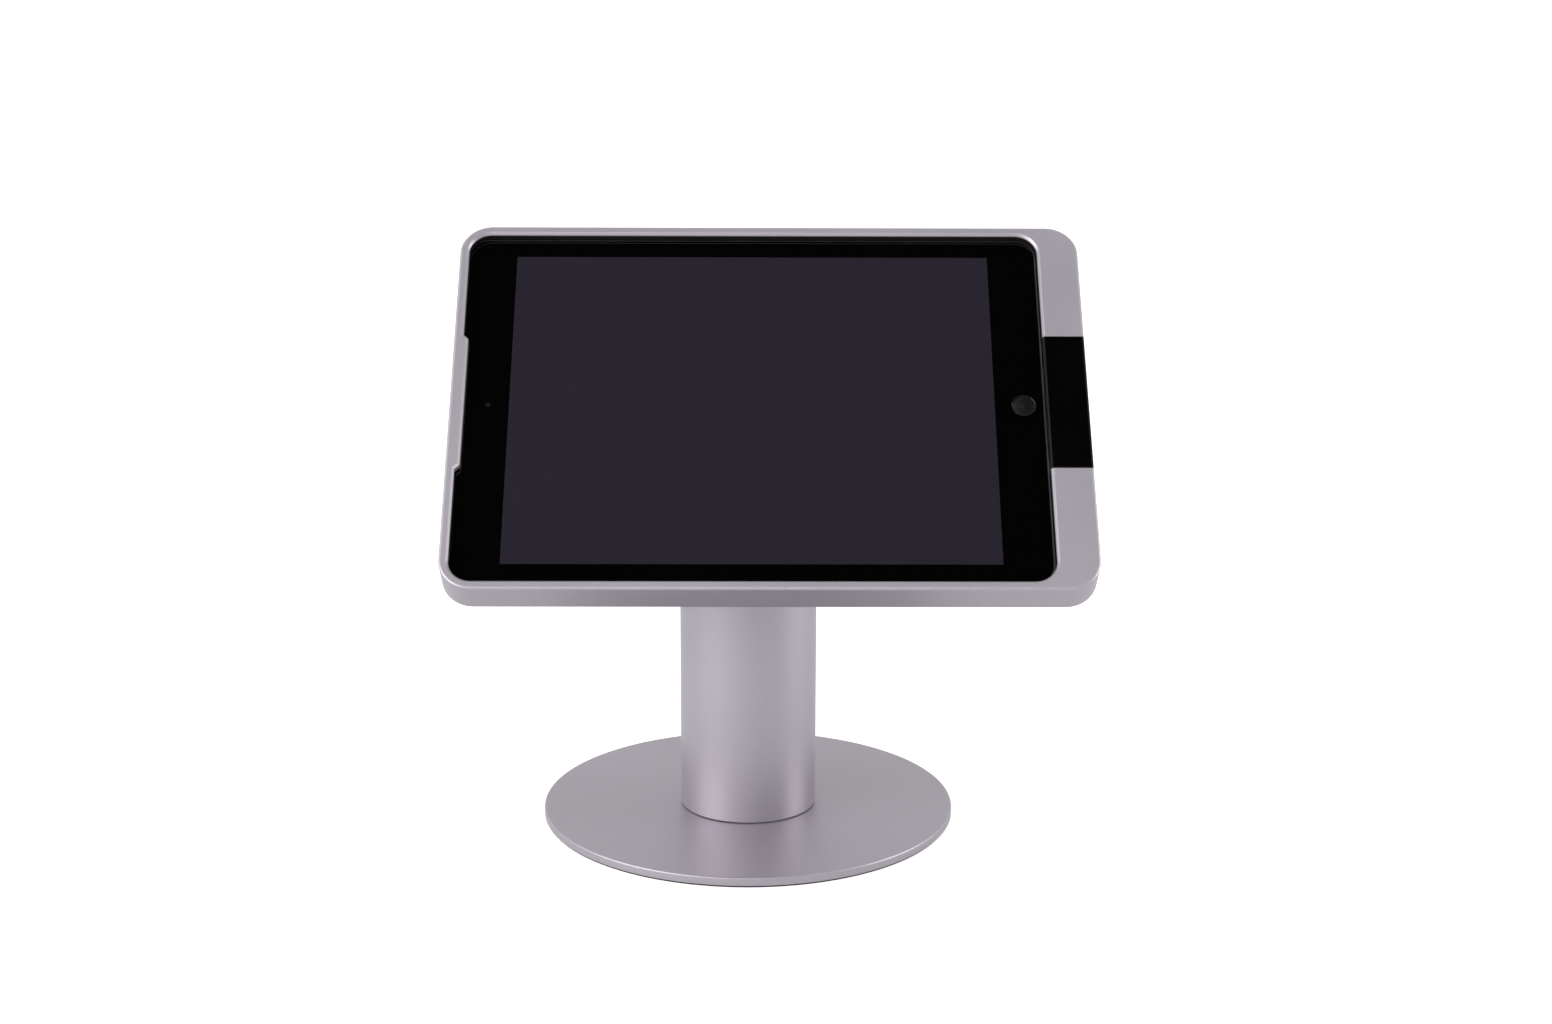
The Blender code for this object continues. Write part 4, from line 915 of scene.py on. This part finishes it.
def make_tray():
    """Metal tray with a raised rim: outer wall, rim, undercut pocket wall and floor in one skin."""
    outer = rounded(DOCK_LEFT, DOCK_RIGHT, -DOCK_HALF, DOCK_HALF, RIM_CORNER)
    outer = with_lip(outer, DOCK_LEFT, 0)
    opening = rounded(OPENING_LEFT, OPENING_RIGHT, -OPENING_HALF, OPENING_HALF, OPENING_CORNER)
    opening = with_lip(opening, OPENING_LEFT, LIP_REACH)
    pocket = with_lip(tablet_outline(), TABLET_LEFT, 0)
    undercut = -(GASKET_OUTER + FIT_GAP)
    inner = [(-INNER_BEVEL - HOLD, RIM_TOP), (-INNER_BEVEL - BEVEL_EDGE, RIM_TOP),
             (-INNER_BEVEL + BEVEL_EDGE, RIM_TOP - BEVEL_EDGE),
             (-BEVEL_EDGE, RIM_TOP - INNER_BEVEL + BEVEL_EDGE),
             (0, RIM_TOP - INNER_BEVEL - BEVEL_EDGE), (0, RIM_LIP_BOTTOM)]
    grid = np.concatenate([
        carried(outer, edged(SHELL_BOTTOM, RIM_TOP, EDGE_ROUND, EDGE_ROUND)),
        carried(opening, inner),
        carried(pocket, [(undercut, RIM_LIP_BOTTOM), (undercut, FLOOR_TOP)]),
    ])
    tray = skin("dock_tray", to_world(grid))
    carve(tray, [lip_block()], "UNION")
    carve(tray, floor_cuts() + lid_seat_cuts())
    dress(tray, "dock", "satin_aluminium", "dock_shell")


def lip_block():
    """Lower part of the lip over the tablet's left edge, let into the rim above it."""
    root = (DOCK_LEFT + OPENING_LEFT) / 2
    tip = OPENING_LEFT + LIP_REACH
    outline = np.array([(root, -LIP_HALF), (OPENING_LEFT, -LIP_HALF), (tip, LIP_SLANT - LIP_HALF),
                        (tip, LIP_HALF - LIP_SLANT), (OPENING_LEFT, LIP_HALF), (root, LIP_HALF)])
    low = GLASS_TOP + LIP_CLEARANCE
    high = RIM_LIP_BOTTOM + (RIM_TOP - RIM_LIP_BOTTOM) / 4
    profile = [(HAIR + HOLD, low), (HAIR, low + HOLD), (HAIR, high)]
    return cutter(carried(outline, profile))


def floor_cuts():
    """Hub hole, cable channel and screw holes in the tray's floor."""
    bore = HUB_BORE + FIT_GAP
    hub = turned([(bore, SHELL_BOTTOM - CUT_PAST), (bore, FLOOR_TOP + CUT_PAST)], HUB_STEPS)
    reach = middle("seat_magnet_1")[0]
    channel = block_cut((0, -CHANNEL_WIDTH / 2, FLOOR_TOP - CHANNEL_DEPTH),
                        (reach, CHANNEL_WIDTH / 2, FLOOR_TOP + CUT_PAST))
    return [cutter(hub), channel] + turn_screw_cuts()


def lid_seat_cuts():
    """Seat for the lid with chamfered ends, its skirt's slot, the plug pocket and magnet holes."""
    inner = TABLET_RIGHT - CUT_PAST
    outer = DOCK_RIGHT + CUT_PAST
    top = RIM_TOP + CUT_PAST
    half = LID_HALF + FIT_GAP
    skirt = DOCK_RIGHT - LID_SKIRT - FIT_GAP
    floor = SKIRT_BOTTOM - FIT_GAP
    outline = np.array([(inner, -half), (outer, -half), (outer, half), (inner, half)])
    seat = carried(outline, [(0, SEAT_TOP), (0, RIM_TOP - SEAT_CHAMFER),
                             (-SEAT_CHAMFER - CUT_PAST, top)])
    cuts = [cutter(seat),
            block_cut((skirt, -half, floor), (outer, half, top)),
            block_cut((inner, -PLUG_HALF, floor), (outer, PLUG_HALF, top))]
    return cuts + [round_cut(f"seat_magnet_{number}", high=top) for number in PAIR]


def make_pocket_strip():
    """Soft strip round the pocket's wall, open at the plug, recessed at the buttons and the lip."""
    outer = GASKET_OUTER
    inner = outer - GASKET_THICKNESS
    edge = GASKET_EDGE
    profile = np.vstack([
        quarter(-outer + edge, GASKET_LOW + edge, edge, -90),
        quarter(-outer + edge, GASKET_HIGH - edge, edge, 180),
        quarter(-inner - edge, GASKET_HIGH - edge, edge, 90),
        quarter(-inner - edge, GASKET_LOW + edge, edge, 0),
    ])
    strip = skin("pocket_strip", to_world(carried(tablet_outline(), profile)), ring=True)
    low = GASKET_LOW - CUT_PAST
    high = GASKET_HIGH + CUT_PAST
    half = LID_HALF + FIT_GAP
    notch = TABLET_BACK + GASKET_NOTCH
    depth = outer - GASKET_FILM
    power_low, power_high = span("power_button")
    up_low, _ = span("volume_up_button")
    _, down_high = span("volume_down_button")
    cuts = [
        block_cut((TABLET_RIGHT - CUT_PAST, -half, low), (DOCK_RIGHT, half, high)),
        block_cut((TABLET_LEFT - depth, power_low[1] - NOTCH_SPARE, notch),
                  (TABLET_LEFT + CUT_PAST, power_high[1] + NOTCH_SPARE, high)),
        block_cut((up_low[0] - NOTCH_SPARE, TABLET_HALF - CUT_PAST, notch),
                  (down_high[0] + NOTCH_SPARE, TABLET_HALF + depth, high)),
        block_cut((DOCK_LEFT, -LIP_HALF - FIT_GAP, GLASS_TOP + LIP_CLEARANCE - FIT_GAP),
                  (TABLET_LEFT + CUT_PAST, LIP_HALF + FIT_GAP, high)),
    ]
    carve(strip, cuts)
    dress(strip, "dock", "black_rubber", "edge_gasket")


def make_rest_pads():
    """Four soft pads under the tablet, with round corners and edges."""
    for number in FOURS:
        low, high = span(f"tray_pad_{number}")
        outline = rounded(low[0], high[0], low[1], high[1], PAD_CORNER, EDGE_STEPS)
        wall = edged(low[2], high[2], REST_PAD_EDGE, REST_PAD_EDGE)
        pad = skin(f"rest_pad_{number}", to_world(carried(outline, wall)))
        dress(pad, "dock", "black_rubber", f"tray_pad_{number}")


def make_lid():
    """Angle-shaped cover over the plug: its section in w and u, carried along v with round ends."""
    skirt = DOCK_RIGHT - LID_SKIRT
    corners = [(LID_BOTTOM, OPENING_RIGHT), (RIM_TOP, OPENING_RIGHT), (RIM_TOP, DOCK_RIGHT),
               (SKIRT_BOTTOM, DOCK_RIGHT), (SKIRT_BOTTOM, skirt), (LID_BOTTOM, skirt)]
    radii = [LID_EDGE, INNER_BEVEL, EDGE_ROUND, LID_EDGE, LID_EDGE, LID_EDGE]
    section = soft_corners(corners, radii)
    grid = along_v(carried(section, edged(-LID_HALF, LID_HALF, LID_EDGE / 2, LID_EDGE / 2)))
    lid = skin("plug_cover", to_world(grid))
    carve(lid, [round_cut(f"lid_magnet_{number}", low=LID_BOTTOM - CUT_PAST) for number in PAIR])
    dress(lid, "lid", "black_gloss", "cover_lid")


# Tablet

def make_case():
    """Thin metal back: round lower edge, bevel beside the glass, ledge and hollow inside."""
    ledge = GLASS_BOTTOM - FIT_GAP
    floor = TABLET_BACK + CASE_FLOOR
    seat = GLASS_INSET - FIT_GAP
    profile = np.vstack([
        [(BACK_ROUND + HOLD, TABLET_BACK)],
        quarter(BACK_ROUND, TABLET_BACK + BACK_ROUND, BACK_ROUND, -90),
        [(0, CASE_TOP - FIT_GAP), (seat / 2, CASE_TOP), (seat, CASE_TOP), (seat, ledge),
         (CASE_WALL, ledge), (CASE_WALL, floor + CASE_FLOOR), (CASE_WALL + CASE_FLOOR, floor)],
    ])
    case = skin("tablet_back", to_world(carried(tablet_outline(), profile)))
    carve(case, case_cuts())
    dress(case, "tablet", "case_aluminium", "rear_case")


def wall_cut(outline, low, high, lay):
    """Cutter through a side wall: an outline carried from low to high along the way of lay."""
    return cutter(lay(carried(outline, [(0, low), (0, high)])))


def case_cuts():
    """Slots for the buttons, and holes for the sockets, speakers and rear camera."""
    wall = CASE_WALL + CUT_PAST
    left = (TABLET_LEFT - CUT_PAST, TABLET_LEFT + wall)
    right = (TABLET_RIGHT - wall, TABLET_RIGHT + CUT_PAST)
    low, high = span("power_button")
    cuts = [wall_cut(button_outline(low[1:], high[1:], FIT_GAP), *left, along_u)]
    for name in ("volume_up_button", "volume_down_button"):
        low, high = span(name)
        outline = button_outline((low[2], low[0]), (high[2], high[0]), FIT_GAP)
        cuts.append(wall_cut(outline, TABLET_HALF - wall, TABLET_HALF + CUT_PAST, along_v))
    jack = middle("headphone_jack")
    cuts.append(wall_cut(circle(JACK_RADIUS, SMALL_STEPS, jack[1:]), *left, along_u))
    port = middle("charge_port")[2]
    wide = PORT_LENGTH / 2
    half = PORT_HEIGHT / 2
    slot = rounded(-wide, wide, port - half, port + half, half - HAIR, EDGE_STEPS)
    cuts.append(wall_cut(slot, *right, along_u))
    for speaker in ("speaker_lower", "speaker_upper"):
        centre = middle(speaker)[1]
        for number in range(SPEAKER_HOLES):
            v = centre + (number - (SPEAKER_HOLES - 1) / 2) * SPEAKER_HOLE_PITCH
            hole = circle(SPEAKER_HOLE_RADIUS, SMALL_STEPS // 2, (v, port))
            cuts.append(wall_cut(hole, *right, along_u))
    lens = middle("rear_camera_glass")
    bore = REAR_LENS_RADIUS + FIT_GAP
    hole = [(bore, TABLET_BACK - CUT_PAST), (bore, TABLET_BACK + CASE_FLOOR + CUT_PAST)]
    cuts.append(cutter(turned(hole, SMALL_STEPS, lens[:2])))
    return cuts


def button_outline(low, high, grow=0.0):
    """Slot with round ends about a button's face."""
    radius = min(high[0] - low[0], high[1] - low[1]) / 2 + grow - HAIR
    sides = (low[0] - grow, high[0] + grow, low[1] - grow, high[1] + grow)
    return rounded(*sides, radius, EDGE_STEPS * 2)


def make_glass():
    """Front glass with a rounded upper edge and a chamfered hole for the home button."""
    profile = np.vstack([
        [(GLASS_INSET + HOLD, GLASS_BOTTOM), (GLASS_INSET, GLASS_BOTTOM + HOLD)],
        quarter(GLASS_INSET + GLASS_EDGE, GLASS_TOP - GLASS_EDGE, GLASS_EDGE, 180),
        [(GLASS_INSET + GLASS_EDGE + HOLD, GLASS_TOP)],
    ])
    glass = skin("tablet_glass", to_world(carried(tablet_outline(), profile)))
    home = middle("home_button")
    bore = HOME_RADIUS + FIT_GAP
    hole = turned([(bore, GLASS_BOTTOM - CUT_PAST), (bore, GLASS_TOP - HOME_CHAMFER),
                   (bore + HOME_CHAMFER + CUT_PAST, GLASS_TOP + CUT_PAST)], HUB_STEPS, home[:2])
    carve(glass, [cutter(hole)])
    dress(glass, "tablet", "screen_glass", "front_glass")


def make_home_button():
    """Round button whose top is dished: its height falls by the dish times 1 - (r / R) squared."""
    low, high = span("home_button")
    home = (low + high) / 2
    wall = as_radii(HOME_RADIUS, edged(low[2], high[2], HOME_EDGE, HOME_EDGE))
    flat = wall[-1, 0]
    reach = np.linspace(flat, flat / DISH_ROWS, DISH_ROWS)[1:]
    dish = np.column_stack([reach, high[2] - HOME_DISH * (1 - (reach / flat) ** 2)])
    grid = turned(np.vstack([wall, dish]), HUB_STEPS, home[:2])
    key = dress(skin("home_key", to_world(grid)), "home", "black_gloss", "home_button")
    key.data.materials[0] = home_gloss()


def make_side_buttons():
    """Slim metal buttons with round ends, each proud of the case's wall."""
    low, high = span("power_button")
    wall = edged(low[0], high[0], BUTTON_EDGE, BUTTON_EDGE)
    grid = along_u(carried(button_outline(low[1:], high[1:]), wall))
    dress(skin("power_key", to_world(grid)), "power", "case_aluminium", "power_button")
    for way in ("up", "down"):
        low, high = span(f"volume_{way}_button")
        wall = edged(low[1], high[1], BUTTON_EDGE, BUTTON_EDGE)
        outline = button_outline((low[2], low[0]), (high[2], high[0]))
        key = skin(f"volume_{way}_key", to_world(along_v(carried(outline, wall))))
        dress(key, f"volume_{way}", "case_aluminium", f"volume_{way}_button")


def finish_carried_nodes():
    """Gives every CAD node that still shows the finish that the record names for it."""
    for subpart in frame["record"]["subparts"]:
        node = frame["nodes"][subpart["node"]]
        node.data.materials.clear()
        node.data.materials.append(finishes[subpart["material_slot"]])


# Studio

def grey(light):
    """Grey colour of a lightness."""
    return (light, light, light)


def make_floor():
    """Wide pale floor, brighter to the camera than in reflections."""
    far = FLOOR_REACH
    mesh = bpy.data.meshes.new("floor")
    corners = [(-far, -far, 0), (far, -far, 0), (far, far, 0), (-far, far, 0)]
    mesh.from_pydata(corners, [], [(0, 1, 2, 3)])
    material, tree, shader, _ = new_finish("pale_floor")
    shader["Roughness"].default_value = FLOOR_ROUGHNESS
    shader["Specular IOR Level"].default_value = 0.0
    shader["Emission Color"].default_value = (1, 1, 1, 1)
    seen = add(tree, "LightPath").outputs["Is Camera Ray"]
    colour(tree, shader, seen, *map(grey, FLOOR_GREYS))
    tree.links.new(ramp(tree, seen, *MASK, *FLOOR_GLOWS), shader["Emission Strength"])
    mesh.materials.append(material)
    floor = bpy.data.objects.new("floor", mesh)
    bpy.context.scene.collection.objects.link(floor)


def sky_patch(tree, way, centre, near, far):
    """Share of a round patch of the sky: 1 within near degrees of its centre, 0 beyond far."""
    facing = add(tree, "VectorMath", {0: way, 1: centre}, operation="DOT_PRODUCT").outputs["Value"]
    return ramp(tree, facing, math.cos(math.radians(far)), math.cos(math.radians(near)))


def make_world():
    """White to the camera, and to all else pale walls with the patches laid over them in turn."""
    world = bpy.data.worlds.new("studio")
    world.use_nodes = True
    tree = world.node_tree
    way = add(tree, "TexCoord").outputs["Generated"]
    light = grey(WALL_LIGHT)
    for centre, near, far, patch in SKY_PATCHES:
        light = blended(tree, sky_patch(tree, way, centre, near, far), light, grey(patch))
    seen = add(tree, "LightPath").outputs["Is Camera Ray"]
    light = blended(tree, seen, light, grey(1.0))
    tree.links.new(light, tree.nodes["Background"].inputs["Color"])
    bpy.context.scene.world = world


def add_softbox(name, place, size, power):
    """Rectangular area light turned to face the object."""
    lamp = bpy.data.lights.new(name, "AREA")
    lamp.shape = "RECTANGLE"
    lamp.size, lamp.size_y = size
    lamp.energy = power
    box = bpy.data.objects.new(name, lamp)
    box.location = place
    facing = Vector(SOFTBOX_TARGET) - Vector(place)
    box.rotation_euler = facing.to_track_quat("-Z", "Y").to_euler()
    bpy.context.scene.collection.objects.link(box)


def make_camera():
    """Camera turned left by one angle, down by another, and rolled a little."""
    data = bpy.data.cameras.new("camera")
    data.sensor_width = SENSOR
    data.lens = LENS
    data.clip_end = CLIP_END
    camera = bpy.data.objects.new("camera", data)
    turn = (Matrix.Rotation(CAMERA_LEFT, 4, "Z")
            @ Matrix.Rotation(math.pi / 2 - CAMERA_DOWN, 4, "X")
            @ Matrix.Rotation(CAMERA_ROLL, 4, "Z"))
    camera.matrix_world = Matrix.Translation(CAMERA_PLACE) @ turn
    bpy.context.scene.collection.objects.link(camera)
    bpy.context.scene.camera = camera


finish_carried_nodes()
make_base()
make_column()
make_grommet()
make_turn_plate()
make_tray()
make_pocket_strip()
make_rest_pads()
make_lid()
make_case()
make_glass()
make_home_button()
make_side_buttons()
make_floor()
make_world()
for softbox in SOFTBOXES:
    add_softbox(*softbox)
make_camera()
bpy.context.scene.view_settings.view_transform = "Standard"
